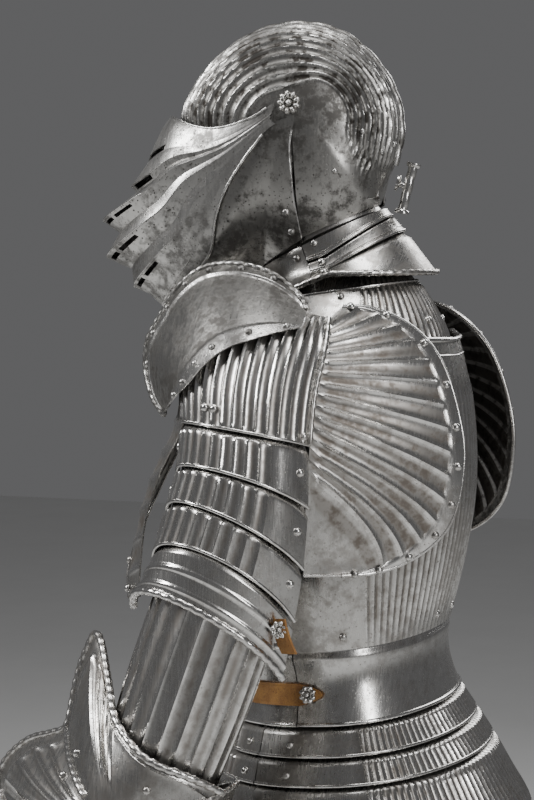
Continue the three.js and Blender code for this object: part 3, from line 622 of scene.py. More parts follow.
def helm_section(angle, far, out, middle_rim):
    """Distance and side of a point, from the pin (far 0) to the middle plane or the neck opening (far 1)."""
    s = np.sin(rad(angle))
    safe = np.where(np.abs(s) > 0.5, s, -1.0)
    reach = NECK_LEVEL / safe
    inside = 1 - ((reach * np.cos(rad(angle)) - NECK_MIDDLE) / NECK_LONG) ** 2
    edge = np.where(s < -0.7, NECK_WIDE * np.sqrt(np.clip(inside, 0, 1)), 0)
    open_here = edge >= 1
    share = np.clip(edge / SKULL_SIDE, 0, 0.999)
    rim = np.where(open_here, reach / (1 - share ** HELM_FORM) ** (1 / HELM_FORM), middle_rim)
    start = np.where(open_here, np.degrees(np.arcsin(share ** (HELM_FORM / 2))), 0)
    return helm_cross(rim + out, SKULL_SIDE + out, mix(90, start, far))


print("the pin's middle, in metres:", (PIVOT * MM).round(4))

# %% [markdown]
# ## The skull
# The skull is one plate over the crown, the back and the cheeks. Its ridges run from the visor's
# upper edge back over the crown and down to a plain band at the nape, and they leave a plain field
# behind the pin. `first_ridge` says where that field ends. A low comb like a rope runs along the
# middle.

# %% Skull plate
first_ridge = smooth([
    [-20, 60], [8, 51], [30, 38], [60, 25], [90, 19], [114, 19], [140, 25], [165, 38], [190, 50],
    [210, 59], [236, 70], [256, 112], [300, 118]])
SKULL_RIDGES = 11
COMB = 5


def skull_point(u, v):
    share = mix(0.03, 1, v)
    brow = brow_edge(share)[..., 0]
    angle = mix(brow, 292, u)
    rim = skull_rim(angle)[..., 0] - COMB
    distance, side = helm_section(angle, share, 0, rim)
    return on_helm(angle, distance, side)


def skull_relief(u, v):
    share = mix(0.03, 1, v)
    angle = mix(brow_edge(share)[..., 0], 292, u)
    rim = skull_rim(angle)[..., 0] - COMB
    start = np.clip(first_ridge(angle)[..., 0] / rim, 0.02, 0.99)
    turn = np.degrees(np.arccos(start ** (HELM_FORM / 2)))
    begin = 1 - turn / 90
    place = (share - begin) / (1 - begin) * SKULL_RIDGES
    height = crest_height(place, np.arange(0, SKULL_RIDGES + 0.5), 0.2, 0.5)
    height = np.where(place < -0.2, 0, height)
    distance, _ = helm_cross(rim, SKULL_SIDE, 90 * (1 - share))
    low = distance * np.sin(rad(angle))
    return height * 2.0 * ramp(low, -102, -92) * ramp(angle, 4, 10) * ramp(angle, 252, 242)


def skull_tongue(u, v):
    """The part round the pin, under the visor, that closes the ring."""
    share = mix(0.03, 1, v)
    end = 360 + brow_edge(share)[..., 0]
    angle = np.where(u < 0.4, mix(292, 322, u / 0.4), mix(322, end, (u - 0.4) / 0.6))
    far = share * np.where(u < 0.4, mix(1, 0.3, u / 0.4), mix(0.3, 1, (u - 0.4) / 0.6))
    rim = np.where(u < 0.02, 118.0, 134.0)
    distance, side = helm_cross(rim, SKULL_SIDE, mix(90, 0, far))
    return on_helm(angle, distance, side)


def both_sides(surface):
    return surface, (lambda u, v: surface(u, v) * np.array([-1.0, 1.0, 1.0]))


skull_parts = []
for half in both_sides(skull_point):
    skull_parts.append(sheet(half, even(96), even(128), skull_relief))
for half in both_sides(skull_tongue):
    skull_parts.append(sheet(half, even(20), even(20)))
comb_line = [on_helm(np.array(a), skull_rim(a)[0] - COMB + 0.5, np.array(0.0)) for a in np.linspace(19, 236, 90)]
skull_parts.append(tube(comb_line, 5.6, sides=14, step=4, groove=(31, 0.32)))
SKULL_RIVETS = [(226, 0.47), (233, 0.70), (226, 0.86), (262, 0.5)]  # angle, share from pin to middle
for half, hand in zip(both_sides(lambda a, s: on_helm(a, *helm_section(a, s, 0, skull_rim(a)[..., 0] - COMB))), (1, -1)):
    for angle, share in SKULL_RIVETS:
        at = half(np.array(float(angle)), np.array(share))
        skull_parts.append(rivet(at, unit(at * [1.4, 1, 1]), 3.2))
piece("helm_skull", skull_parts, dark_steel, place=helm_place)
print("skull triangles:", total["triangles"])

# %% [markdown]
# ## The visor
# The visor is a wide beak with bellows: sharp folds that run round the front and fade towards the
# pin. In side view each fold is a corner of one line, so the plate is that line swept round the
# cross section. The sight and the breaths are real slits, made by leaving faces out.

# %% Visor plate
VISOR_LINE = [
    [22, 141], [13.4, 159], [6, 178], [3.2, 192], [1.2, 203], [-1.6, 201], [-4, 249], [-8.9, 239],
    [-12, 267], [-18, 253], [-21.6, 265], [-25.5, 259], [-30, 261], [-34, 252]]
visor_sides = smooth([
    [0, 70, -90], [14, 30, -48], [31, 8, -27], [57, 5, -25], [86, 8, -26], [111, 14, -27.5], [139, 21, -30.5],
    [175, 22, -35.5], [200, 22, -35], [260, 22, -33.5]])


def visor_point(u, v):
    turn = mix(86, -86, u)
    row = along_rows(VISOR_LINE, v)
    line, middle = row[..., 0], row[..., 1]
    distance, width = helm_cross(middle + VISOR_OUT - 4, SKULL_SIDE + VISOR_OUT, np.abs(turn))
    sides = visor_sides(distance)
    share = (22 - line) / 56
    return on_helm(mix(sides[..., 0], sides[..., 1], share), distance, np.sign(turn) * width)


# row of the line, its depth, first and last share of the width on each side
SLITS = [(1.82, 0.14, 0.10, 0.44), (4.5, 0.3, 0.2, 0.42), (6.27, 0.1, 0.12, 0.25), (6.27, 0.1, 0.29, 0.43),
         (8.27, 0.1, 0.12, 0.25), (8.27, 0.1, 0.29, 0.43), (10.3, 0.12, 0.15, 0.26), (10.3, 0.12, 0.3, 0.42)]


def visor_keep(u, v):
    row, side = v * (len(VISOR_LINE) - 1), np.abs(u - 0.5)
    kept = np.ones(u.shape, bool)
    for middle, deep, near, far in SLITS:
        kept &= ~((np.abs(row - middle) < deep) & (side > near * 0.5) & (side < far * 0.5))
    return kept


rows = sorted({round(k / 13, 5) for k in range(14)} | {round((k + t) / 13, 5) for k in range(13) for t in (
    0.08, 0.17, 0.27, 0.37, 0.45, 0.53, 0.61, 0.68, 0.8, 0.92, 0.96)})
visor_parts = [sheet(visor_point, even(120), rows, keep=visor_keep)]
edge = [visor_point(np.array(u), np.array(1.0)) for u in np.linspace(0.02, 0.98, 160)]
visor_parts.append(tube(edge, 1.5, sides=8, step=3))
edge = [visor_point(np.array(u), np.array(0.0)) for u in np.linspace(0.02, 0.98, 160)]
visor_parts.append(tube(edge, 1.3, sides=8, step=3))
for row in (4, 6, 8, 10, 12):
    crest = [visor_point(np.array(u), np.array(row / 13)) for u in np.linspace(0.24, 0.76, 120)]
    visor_parts.append(tube(crest, 0.9, sides=8, step=2.5))
piece("helm_visor", visor_parts, visor_steel, body="visor", place=helm_place)
print("visor:", len(SLITS), "slits on each side")

# %% [markdown]
# ## The bevor and the neck lames
# The bevor guards the chin under the visor and meets the skull in one thin seam. Below them hang the
# neck lames: short plates that lap like roof tiles, each with a rolled lower edge, the last one with
# a rope. The rings table is the neck at four levels, and a lame is the strip between two of them.

# %% Bevor and neck lames
bevor_edges = smooth([[0, 60, -120], [14, 20, -85], [35, -8, -66], [80, -12, -66], [150, -12, -69], [260, -4, -70]])


def bevor_half(hand):
    def surface(u, v):
        line = mix(-4, -70, v)
        far = u if hand > 0 else 1 - u
        distance, side = helm_section(line, mix(0.04, 1, far), BEVOR_OUT, bevor_rim(line)[..., 0])
        side = np.where((far >= 0.9999) & (line > -50), 0, side)
        edges = bevor_edges(distance)
        return on_helm(mix(edges[..., 0], edges[..., 1], v), distance, hand * side)
    return surface


bevor_parts = [sheet(bevor_half(h), even(44), even(40)) for h in (1, -1)]
for hand in (1, -1):
    for u, v in ((0.86, 0.93), (0.66, 0.9)):
        bevor_parts += rivets(bevor_half(hand), [(u if hand > 0 else 1 - u, v)], 3.2)
    edge = [bevor_half(hand)(np.array(u if hand > 0 else 1 - u), np.array(1.0)) for u in np.linspace(0.1, 0.98, 60)]
    bevor_parts.append(tube(edge, 1.0, sides=6, step=4))
piece("helm_bevor", bevor_parts, dark_steel, body="bevor", place=helm_place)

neck_rings = smooth([
    [-1, -38, 112, 66, -118, -118, -120], [0, -38, 112, 66, -132, -131, -135], [1, -40, 114, 68, -144, -156, -148],
    [2, -46, 118, 74, -164, -171, -160], [3, -59, 126, 91, -220, -178, -174]])


def neck_point(level, angle, out):
    ring = neck_rings(level)
    back, front, wide, z_back, z_side, z_front = (ring[..., k] for k in range(6))
    c, s = np.cos(rad(angle)), np.sin(rad(angle))
    forward = NECK_MIDDLE + c * np.where(c > 0, front - NECK_MIDDLE + out, NECK_MIDDLE - back + out)
    height = np.where(c > 0, mix(z_side, z_front, c), mix(z_side, z_back, -c))
    return np.stack([(wide + out) * s, -forward, height], -1)


def neck_lame(name, top, cover, bottom, lap=LAP, start=76, end=284, body="suit", roped=False):
    table = [[top, -lap], [cover, -lap], [cover + 0.16, 0], [bottom, 0]]

    def surface(u, v):
        row = along_rows(table, v)
        return neck_point(row[..., 0], mix(start, end, u), row[..., 1])

    parts = [sheet(surface, even(70), showing(10))]
    edge = [surface(np.array(u), np.array(1.0)) for u in np.linspace(0, 1, 80)]
    parts.append(rope(edge, 3.6, pitch=11) if roped else tube(edge, 1.7, sides=8, step=3))
    if not roped:
        second = [surface(np.array(u), np.array(0.93)) for u in np.linspace(0, 1, 80)]
        parts.append(tube(second, 1.0, sides=6, step=3))
    for u in (0.05, 0.95):
        parts += rivets(surface, [(u, 0.72)], 3.1)
    return piece(name, parts, plate_steel, body=body, place=helm_place)


neck_lame("helm_nape_1", -0.15, 0.12, 1, lap=LAP + 2.4)
neck_lame("helm_nape_2", 0.65, 1.1, 2)
neck_lame("helm_nape_3", 1.75, 2.06, 3, roped=True)
neck_lame("helm_bevor_lame", -0.5, 0.1, 3, start=-75.4, end=75.4, body="bevor", roped=True)
print("neck rings at", neck_rings(np.array([0, 3])).round(0).tolist())

# %% [markdown]
# ## The flower-headed pins and the plume tube
# The visor's pin ends in a small flower of ball petals round a button. Its height is a formula of
# angle and radius, so one polar grid makes it. The plume tube is twisted sheet with a flange at each
# end, standing off the nape on a stud.

# %% Flower head and plume tube
def flower(centre, axis, radius=12.5, petals=9, height=6.5):
    axis = unit(np.asarray(axis, float))
    a = unit(np.cross(axis, [0.31, 0.87, 0.39]))
    b = np.cross(axis, a)

    def surface(u, v):
        turn = u * 2 * np.pi
        lobe = np.abs(np.cos(turn * petals / 2))
        r = radius * v * (0.8 + 0.2 * lobe ** 0.7)
        petal = np.sqrt(np.clip(1 - ((v - 0.7) / 0.34) ** 2, 0, 1)) * (0.25 + 0.75 * lobe ** 0.8)
        button = np.sqrt(np.clip(1 - (v / 0.34) ** 2, 0, 1))
        h = 1.2 + height * np.maximum(petal * 0.75, button * 0.95)
        h = np.where(v > 0.999, 0, h)
        return centre + axis * h[..., None] + r[..., None] * (np.cos(turn)[..., None] * a + np.sin(turn)[..., None] * b)

    return sheet(surface, even(72), [0.01, 0.1, 0.2, 0.28, 0.34, 0.4, 0.48, 0.58, 0.7, 0.82, 0.9, 0.96, 0.985, 1.0],
                 thick=0.6, wrap=True)


for side, hand in (("l", 1), ("r", -1)):
    head = flower(np.array([hand * (SKULL_SIDE + VISOR_OUT + 0.2), 0, 0]), [hand, 0, 0])
    piece(f"helm_rosette_{side}", [head], bright_steel, place=helm_place)

plume_top, plume_foot = np.array([0, 85, -103.0]), np.array([0, 50, -147.0])
along = unit(plume_foot - plume_top)
plume = [tube([plume_top, plume_foot], 5.4, sides=20, step=1.6, groove=(17, 0.16)),
         turned([(5, 0), (7.8, 0.3), (8, 2), (7.2, 4.2), (5.8, 5)], plume_top, along, 20),
         turned([(5, 0), (7.8, 0.3), (8, 2), (7.2, 4.2), (5.8, 5)], plume_foot, -along, 20),
         tube([np.array([0, 59.5, -114.5]), (plume_top + plume_foot) / 2], 3, sides=10, step=5),
         turned([(9, -1.5), (9, 0.6), (6, 2.2), (3, 3)], np.array([0, 60.5, -115.3]), [0, 0.75, -0.66], 18)]
piece("helm_plume_tube", plume, bright_steel, place=helm_place)
print("plume tube length:", round(float(np.linalg.norm(plume_foot - plume_top))), "mm")

# %% [markdown]
# ## The gorget
# The gorget is a steel collar in two rings, plain at the sides and fluted behind. The rings dip at
# the sides and rise at the back, which the tilt column of each row says.

# %% Gorget
gorget_rings = smooth([
    [92, 48, 54, 50], [66, 54, 70, 56], [43, 68, 87, 62], [20, 88, 102, 68], [-14, 120, 118, 98], [-45, 138, 119, 122]])


def gorget_surface(table):
    def surface(u, v):
        row = along_rows(table, v)
        c, s = np.cos(u * 2 * np.pi), np.sin(u * 2 * np.pi)
        height = row[..., 0] - row[..., 1] * c
        ring = gorget_rings(height)
        wide, back, front = (ring[..., k] for k in range(3))
        reach = np.where(c > 0, front, back) + row[..., 2]
        return np.stack([(wide + row[..., 2]) * s, -c * reach, height], -1)
    return surface


def gorget_relief(u, v):
    crests = 0.5 + np.arange(-13, 13.5) * 0.0126
    return crest_height(u, crests, 0.0036) * 1.7 * ramp(np.abs(u - 0.5), 0.18, 0.165) * ramp(v, 0.02, 0.1)


back_columns = columns_for(0.5 + np.arange(-13, 13.5) * 0.0126, 0.0036, np.linspace(0, 1, 61))
collar = gorget_surface([[80, 10, 0], [56, 10, 0], [28, 10, 0]])
lower = gorget_surface([[31, 14, LAP], [10, 8, LAP], [-14, 4, LAP], [-44, 0, LAP]])
collar_parts = [sheet(collar, back_columns, even(16), gorget_relief, wrap=True)]
collar_parts.append(tube([collar(np.array(u), np.array(0.0)) for u in np.linspace(0, 1, 90)], 2.2, 8, 4, closed=True))
lower_parts = [sheet(lower, back_columns, even(24), gorget_relief, wrap=True)]
lower_parts.append(tube([lower(np.array(u), np.array(0.0)) for u in np.linspace(0, 1, 90)], 1.6, 8, 4, closed=True))
lower_parts += rivets(lower, [(0.30, 0.10), (0.70, 0.10), (0.46, 0.5), (0.54, 0.5), (0.36, 0.55), (0.64, 0.55)], 3.2)
piece("gorget_collar", collar_parts, plate_steel)
piece("gorget_lower", lower_parts, plate_steel)
print("gorget columns:", len(back_columns))

# %% [markdown]
# ## The cuirass
# Breast and back are two halves of one barrel that lean forward over the hips. Cross sections down
# the body make the barrel, and each half is cut out of it along its own upper edge. Flutes run down
# the back from a plain band under the neck, and the sides under the arms stay plain.

# %% Trunk surfaces
TORSO_LEAN = rad(6)
TORSO_FORM = 2.1  # exponent of the cross sections
SIDE_SEAM, FAULD_SEAM, WAIST = 77, 60, -336
cl, sl = math.cos(TORSO_LEAN), math.sin(TORSO_LEAN)
trunk_turn = np.array([[1, 0, 0], [0, cl, -sl], [0, sl, cl]])


def trunk_place(points):
    return points @ trunk_turn.T


torso_rings = smooth([
    [0, 138, 122, 104], [-33, 154, 130, 126], [-90, 172, 135, 152], [-150, 179, 134, 168], [-210, 177, 126, 176],
    [-270, 169, 109, 174], [-320, 156, 92, 158], [-367, 143, 82, 146], [-412, 152, 90, 152], [-442, 165, 105, 161],
    [-470, 176, 121, 170], [-510, 189, 140, 182], [-548, 201, 157, 192], [-700, 232, 178, 205]])
breast_top = smooth([[0, -58], [28, -54], [42, -34], [58, -92], [77, -168]])
back_top = smooth([[77, -182], [100, -150], [120, -82], [138, -26], [155, -29], [180, -32]])


def torso_point(angle, height, out):
    ring = torso_rings(height)
    wide, back, front = (ring[..., k] for k in range(3))
    c, s = np.cos(rad(angle)), np.sin(rad(angle))
    power = 2 / TORSO_FORM
    return np.stack([(wide + out) * spow(s, power), -(np.where(c > 0, front, back) + out) * spow(c, power),
                     height + 0 * angle], -1)


def breast(u, v):
    angle = mix(-SIDE_SEAM, SIDE_SEAM, u)
    return torso_point(angle, mix(breast_top(np.abs(angle))[..., 0], WAIST, v), 0)


def back(u, v):
    angle = mix(SIDE_SEAM + 0.5, 360 - SIDE_SEAM - 0.5, u)
    return torso_point(angle, mix(back_top(180 - np.abs(180 - angle))[..., 0], WAIST, v), 0)


def fluted(crests, foot, height, top=0.1, low=0.97, rise=0.05):
    def relief(u, v):
        return crest_height(u, crests, foot) * height * ramp(v, top, top + rise) * ramp(v, low, low - 0.03)
    return relief


def edge_of(surface, v, count=90, start=0.0, end=1.0):
    return [surface(np.array(u), np.array(v)) for u in np.linspace(start, end, count)]


back_crests = np.linspace(0.2, 0.8, 33)
breast_crests = np.linspace(0.14, 0.86, 21)
back_parts = [sheet(back, columns_for(back_crests, 0.0052, np.linspace(0, 1, 30)), even(22),
                    fluted(back_crests, 0.0052, 1.9, 0.12))]
back_parts.append(tube(edge_of(back, 0.0), 3.2, 10, 4))
back_parts.append(tube(edge_of(back, 0.055, 90, 0.2, 0.8), 1.1, 6, 4))
back_parts += rivets(back, [(0.13, 0.93), (0.87, 0.93), (0.45, 0.95), (0.55, 0.95)], 3.2)
breast_parts = [sheet(breast, columns_for(breast_crests, 0.0075, np.linspace(0, 1, 24)), even(22),
                      fluted(breast_crests, 0.0075, 1.9, 0.14))]
breast_parts.append(rope(edge_of(breast, 0.0), 4.2, pitch=11))
piece("breastplate", breast_parts, plate_steel, place=trunk_place)
piece("backplate", back_parts, plate_steel, place=trunk_place)
print("back flutes:", len(back_crests), "breast flutes:", len(breast_crests))

# %% [markdown]
# ## The waist and the fauld
# A plain polished waist plate nips in under the cuirass, and three lames flare out below it as a
# skirt. Each lame slips one lap inside the one above. Behind, they carry close flutes; at the sides
# they are plain.

# %% Waist and fauld
HOOPS = [  # name, seam, flutes behind, rows of height and lap
    ["waist", SIDE_SEAM, 0, [[-322, -LAP], [WAIST - 2, -LAP], [WAIST - 8, 0], [-367, 0], [-390, 0], [-412, 0]]],
    ["fauld_1", FAULD_SEAM, 45, [[-402, -LAP - 2], [-414, -LAP - 2], [-420, 0], [-442, 0]]],
    ["fauld_2", FAULD_SEAM, 47, [[-432, -LAP - 2], [-444, -LAP - 2], [-450, 0], [-470, 0]]],
    ["fauld_3", FAULD_SEAM, 49, [[-460, -LAP - 2], [-472, -LAP - 2], [-478, 0], [-548, 0]]]]
for name, seam, flutes, table in HOOPS:
    for half, start, end in (("front", -seam, seam), ("back", seam + 0.5, 360 - seam - 0.5)):
        def hoop(u, v, start=start, end=end, table=table):
            row = along_rows(table, v)
            return torso_point(mix(start, end, u), row[..., 0], row[..., 1])
        if flutes:
            crests = np.linspace(0.2, 0.8, flutes) if half == "back" else np.linspace(0.14, 0.86, 21)
            foot = 0.0042 if half == "back" else 0.008
            grid = sheet(hoop, columns_for(crests, foot, np.linspace(0, 1, 24)), showing(10),
                         fluted(crests, foot, 1.8, 0.62, 1.04, 0.04))
        else:
            grid = sheet(hoop, even(60), even(24))
        parts = [grid, tube(edge_of(hoop, 1.0, 140), 1.9 if flutes else 2.2, 8, 3)]
        if flutes:
            parts += rivets(hoop, [(0.06, 0.84), (0.94, 0.84)], 3.1)
        piece(f"{name}_{half}", parts, plate_steel if flutes else bright_steel, place=trunk_place)


def tasset(u, v):
    return torso_point(mix(5, 66, u), mix(-553, -692 - 14 * bump(u), v), 10 * v)


tasset_crests = np.linspace(0.14, 0.86, 9)
tasset_parts = [sheet(tasset, columns_for(tasset_crests, 0.017), even(24), fluted(tasset_crests, 0.017, 2.0, 0.06, 0.9)),
                rope(edge_of(tasset, 1.0), 3.6)]
pair("tasset", tasset_parts, plate_steel, place=trunk_place)
print("pieces so far:", total)

# %% [markdown]
# ## The pauldrons
# Rings round the upper arm make the shoulder: 0 degrees is outward, 90 to the rear. The main plate
# covers the first rings with long sharp pleats, and four lames follow down the arm, each one lap
# inside the plate above. The last lame ends in a roped rim.

# %% Shoulder rings, main plate and lames
arm_rings = smooth([
    [-1, 150, -14, 3, 58, 24, 0.02, 4], [-0.5, 172, -18, 60, 70, -4, 0.06, 6], [0, 198, -22, 64, 72, -45, 0.08, 8],
    [1, 212, -20, 68, 69, -96, 0.14, 8], [2, 216, -21, 72, 71, -137, 0.22, 20], [3, 219, -28, 74, 74, -175, 0.34, 31],
    [4, 221, -39, 76, 77, -214, 0.32, 42], [5, 224, -55, 78, 82, -266, 0.39, 40]])
LAME_END, MAIN_TOP = 76, -0.85


def arm_point(level, angle, out):
    ring = arm_rings(level)
    x, y, half_x, half_y, height, fall, drop = (ring[..., k] for k in range(7))
    c, s = np.cos(rad(angle)), np.sin(rad(angle))
    reach = (half_y + out) * s
    return np.stack([x + (half_x + out) * c, y + reach, height - fall * reach - drop * (angle / 70) ** 2], -1)


def main_plate(u, v):
    return arm_point(mix(MAIN_TOP, 1, v), mix(-LAME_END, LAME_END, u), 0)


main_crests = np.linspace(0.05, 0.95, 16)
main_parts = [sheet(main_plate, columns_for(main_crests, 0.012), even(30), fluted(main_crests, 0.012, 2.1, 0.02, 0.99))]
main_parts.append(tube(edge_of(main_plate, 1.0), 1.6, 8, 3))
main_parts += rivets(main_plate, [(0.36, 0.8), (0.42, 0.8), (0.95, 0.93)], 3.2)
pair("pauldron_main", main_parts, bright_steel)

for number in range(2, 6):
    table = [[number - 1.25, -LAP], [number - 0.96, -LAP], [number - 0.83, 0], [number, 0]]

    def lame(u, v, table=table):
        row = along_rows(table, v)
        return arm_point(row[..., 0], mix(-LAME_END, LAME_END, u), row[..., 1])

    if number < 5:
        crests = np.linspace(0.05, 0.74, 12)
        parts = [sheet(lame, columns_for(crests, 0.012, np.linspace(0.75, 1, 6)), showing(12),
                       fluted(crests, 0.012, 2.0, 0.64, 1.02, 0.04)),
                 tube(edge_of(lame, 1.0), 1.8, 8, 3)]
        parts += rivets(lame, [(0.93, 0.8), (0.05, 0.8)], 3.3)
    else:
        def bands(u, v):
            return 1.3 * (ramp(v, 0.76, 0.775) - ramp(v, 0.80, 0.815)) + 1.3 * (ramp(v, 0.90, 0.912) - ramp(v, 0.93, 0.945))
        parts = [sheet(lame, even(60), showing(40), bands), rope(edge_of(lame, 1.0, 120), 4.3, pitch=12)]
        parts += rivets(lame, [(0.93, 0.86), (0.05, 0.86)], 3.3)
    pair(f"pauldron_lame_{number - 1}", parts, bright_steel)
print("shoulder pleats:", len(main_crests))

# %% [markdown]
# ## Wings and haute-piece
# Behind and before the arm a wing spreads like a shell over the shoulder blade and the breast. Its
# ridges fan out from one edge to the border, so the grid is warped: close columns at the narrow edge
# and wide ones at the border, with one crest in each. On top stands the haute-piece, a smooth upright
# guard for the neck with a roped rim and a raised bead inside it.

# %% Wings
def wing_ridge(side, free):
    beside = [arm_point(np.array(level), side * (LAME_END + 1), 0) for level in (MAIN_TOP, -0.4, 0, 0.5, 1)]
    return path([*beside, *free])


rear_ridge = wing_ridge(1, [[216, 40, -160], [204, 33, -248]])
front_ridge = wing_ridge(-1, [[216, -118, -150], [206, -138, -200], [195, -152, -282]])
rear_border = path([
    [142, 54, 20], [128, 79, 18], [116, 107, 6], [110, 128, -10], [110, 149, -38], [112, 167, -89], [112, 173, -134],
    [118, 163, -195], [128, 145, -221], [145, 118, -240], [164, 92, -248], [184, 66, -249]])
front_border = path([
    [138, -78, 18], [112, -100, 4], [92, -116, -26], [80, -127, -64], [77, -140, -108], [84, -169, -170],
    [104, -187, -224], [138, -187, -266], [172, -171, -286]])


def wing(ridge, border, swell, fan):
    """fan = the columns' places on the ridge and on the border, as two rows of a table."""
    keys, at_ridge, at_border = np.array(fan, float).T

    def surface(u, v):
        place = mix(np.interp(u, keys, at_ridge), np.interp(u, keys, at_border), v ** 0.8)
        point = mix(ridge(place), border(place), v[..., None])
        away = unit(np.stack([0 * u + 0.4, 0 * u + np.sign(swell), 0.1 - 0.3 * place], -1))
        lift = np.abs(swell) * bump(v) * np.sin(np.pi * np.clip(place * 1.1, 0, 1))
        return point + away * lift[..., None]
    return surface


rear = wing(rear_ridge, rear_border, 14, [[0, 0, 0], [0.06, 0.05, 0.04], [0.86, 0.60, 0.90], [1, 1, 1]])
rear_crests = np.linspace(0.06, 0.86, 15)
front = wing(front_ridge, front_border, -12, [[0, 0, 0], [1, 1, 1]])
front_crests = np.linspace(0.1, 0.9, 9)


def wing_relief(crests, foot, height):
    def relief(u, v):
        fan = crest_height(u, crests, foot, 0.4) * height * ramp(v, 0.015, 0.06) * ramp(v, 0.885, 0.865)
        step = 1.6 * ramp(v, 0.868, 0.90)
        return fan + step
    return relief


rear_rows = np.unique(np.concatenate([even(30), [0.865, 0.885, 0.9]]))
rear_parts = [sheet(rear, columns_for(rear_crests, 0.012, np.linspace(0.87, 1, 8)), rear_rows,
                    wing_relief(rear_crests, 0.012, 2.6))]
rear_parts.append(tube(edge_of(rear, 1.0, 120), 2.4, 10, 3))
rear_parts.append(tube(edge_of(rear, 0.0, 120, 0, 0.72), 3.2, 12, 3, groove=(11, 0.3)))
rear_parts.append(tube([rear(np.array(1.0), np.array(v)) for v in np.linspace(0, 1, 30)], 1.6, 8, 3))
rear_parts += rivets(rear, [(u, 0.945) for u in (0.03, 0.13, 0.24, 0.35, 0.45, 0.54, 0.63, 0.71, 0.79, 0.87, 0.95)], 3.3,
                     lift=1.5)
pair("pauldron_rear_wing", rear_parts, plate_steel)
front_parts = [sheet(front, columns_for(front_crests, 0.018), even(22), wing_relief(front_crests, 0.018, 1.9))]
front_parts.append(tube(edge_of(front, 1.0, 120), 2.4, 10, 3))
front_parts += rivets(front, [(u, 0.945) for u in (0.1, 0.25, 0.4, 0.55, 0.7, 0.85, 0.96)], 3.2, lift=1.5)
pair("pauldron_front_wing", front_parts, plate_steel)
print("fan ridges:", len(rear_crests))

# %% Haute-piece
haute_base = path([
    [207, 35, -3], [227, 19, -7], [245, -2, -14], [255, -26, -23], [260, -47, -39], [261, -62, -56], [250, -80, -70],
    [234, -96, -82]])
haute_rim = path([
    [178, 28, 17], [160, 10, 34], [152, -22, 54], [149, -62, 63], [142, -100, 58], [135, -130, 38], [128, -152, 10],
    [124, -170, -20], [124, -172, -48], [140, -158, -76], [168, -134, -92], [194, -122, -88]])


def haute(u, v):
    lift = 10 * bump(v) * np.sin(np.pi * u) + 5 * (1 - v)
    return mix(haute_base(u), haute_rim(u), v[..., None]) + unit(np.array([0.6, -0.5, 0.6])) * lift[..., None]


def haute_relief(u, v):
    bead = np.exp(-((v - 0.83) / 0.018) ** 2) * 2.6 * ramp(u, 0.0, 0.06) * ramp(u, 1.0, 0.94)
    foot = 1.3 * ramp(v, 0.15 + 0.012 * np.abs(np.sin(u * 60)), 0.12)
    return bead + foot


haute_rows = np.unique(np.concatenate([even(22), np.linspace(0.78, 0.88, 12), np.linspace(0.1, 0.18, 9)]))
haute_parts = [sheet(haute, even(90), haute_rows, haute_relief), rope(edge_of(haute, 1.0, 160), 3.6, pitch=10)]
haute_parts += rivets(haute, [(u, 0.92) for u in (0.06, 0.16, 0.26, 0.36, 0.45, 0.54, 0.63, 0.72, 0.81, 0.9)], 3.2)
haute_parts += rivets(haute, [(u, 0.07) for u in (0.1, 0.3, 0.5, 0.62, 0.74, 0.86)], 2.8, lift=1.2)
pair("haute_piece", haute_parts, dark_steel)
print("pieces so far:", total)

# %% [markdown]
# ## The arms
# Closed tubes guard the upper arm and the forearm, each with thin raised ridges between flat bands.
# The couter joins them: a cap behind the elbow and a wing of two lobes round the bend, whose edge
# is roped and whose ridges converge to the tips.

# %% Arm tubes
ELBOW = np.array([258.0, -114, -480])


def limb(start, end, stations, sweep=(0, 360), lean=(0, 0, 0)):
    """A tube, or part of one, along a line: half widths across and along at each station."""
    start, end, lean = np.array(start, float), np.array(end, float), np.array(lean, float)
    axis = end - start
    along_axis = unit(axis)
    right = unit(np.array([1.0, 0, 0]) - along_axis * along_axis[0])
    ahead = np.cross(right, along_axis)
    sizes = smooth(stations)

    def surface(u, v):
        size = sizes(v)
        turn = rad(mix(sweep[0], sweep[1], u))
        return (start + axis * v[..., None] + lean * bump(v)[..., None]
                + right * (size[..., 0] * np.cos(turn))[..., None] + ahead * (size[..., 1] * np.sin(turn))[..., None])
    return surface


def ring_flutes(count, foot, height, top=0.02, low=0.98, hollow=0.3):
    crests = (np.arange(count) + 0.5) / count
    return columns_for(crests, foot), lambda u, v: (
        crest_height(np.mod(u, 1), crests, foot, hollow) * height * ramp(v, top, top + 0.03) * ramp(v, low, low - 0.03))


shoulder_end = np.array([232.0, -42, -262])
upper = limb(shoulder_end, shoulder_end + (ELBOW - shoulder_end) * 0.9, [[0, 58, 63], [0.5, 58, 63], [1, 54, 57]])
columns, relief = ring_flutes(22, 0.0075, 1.7, 0.0, 1.0)
upper_parts = [sheet(upper, columns, even(22), relief, wrap=True),
               tube(edge_of(upper, 1.0), 1.8, 8, 4, closed=True)]
pair("upper_cannon", upper_parts, bright_steel)

DROP, TOE = rad(25), rad(12)
forward = unit(np.array([-math.sin(TOE), -math.cos(DROP), -math.sin(DROP)]))
right = unit(np.array([1.0, 0, 0]) - forward * forward[0])
up = -np.cross(right, forward)


def forearm(reach):
    return ELBOW + forward * reach


lower_arm = limb(forearm(36), forearm(236), [[0, 48, 48], [0.35, 45, 44], [1, 35, 33]])
columns, relief = ring_flutes(18, 0.009, 1.6, 0.1)
pair("lower_cannon", [sheet(lower_arm, columns, even(22), relief, wrap=True)], plate_steel)
print("forearm points along", forward.round(2))

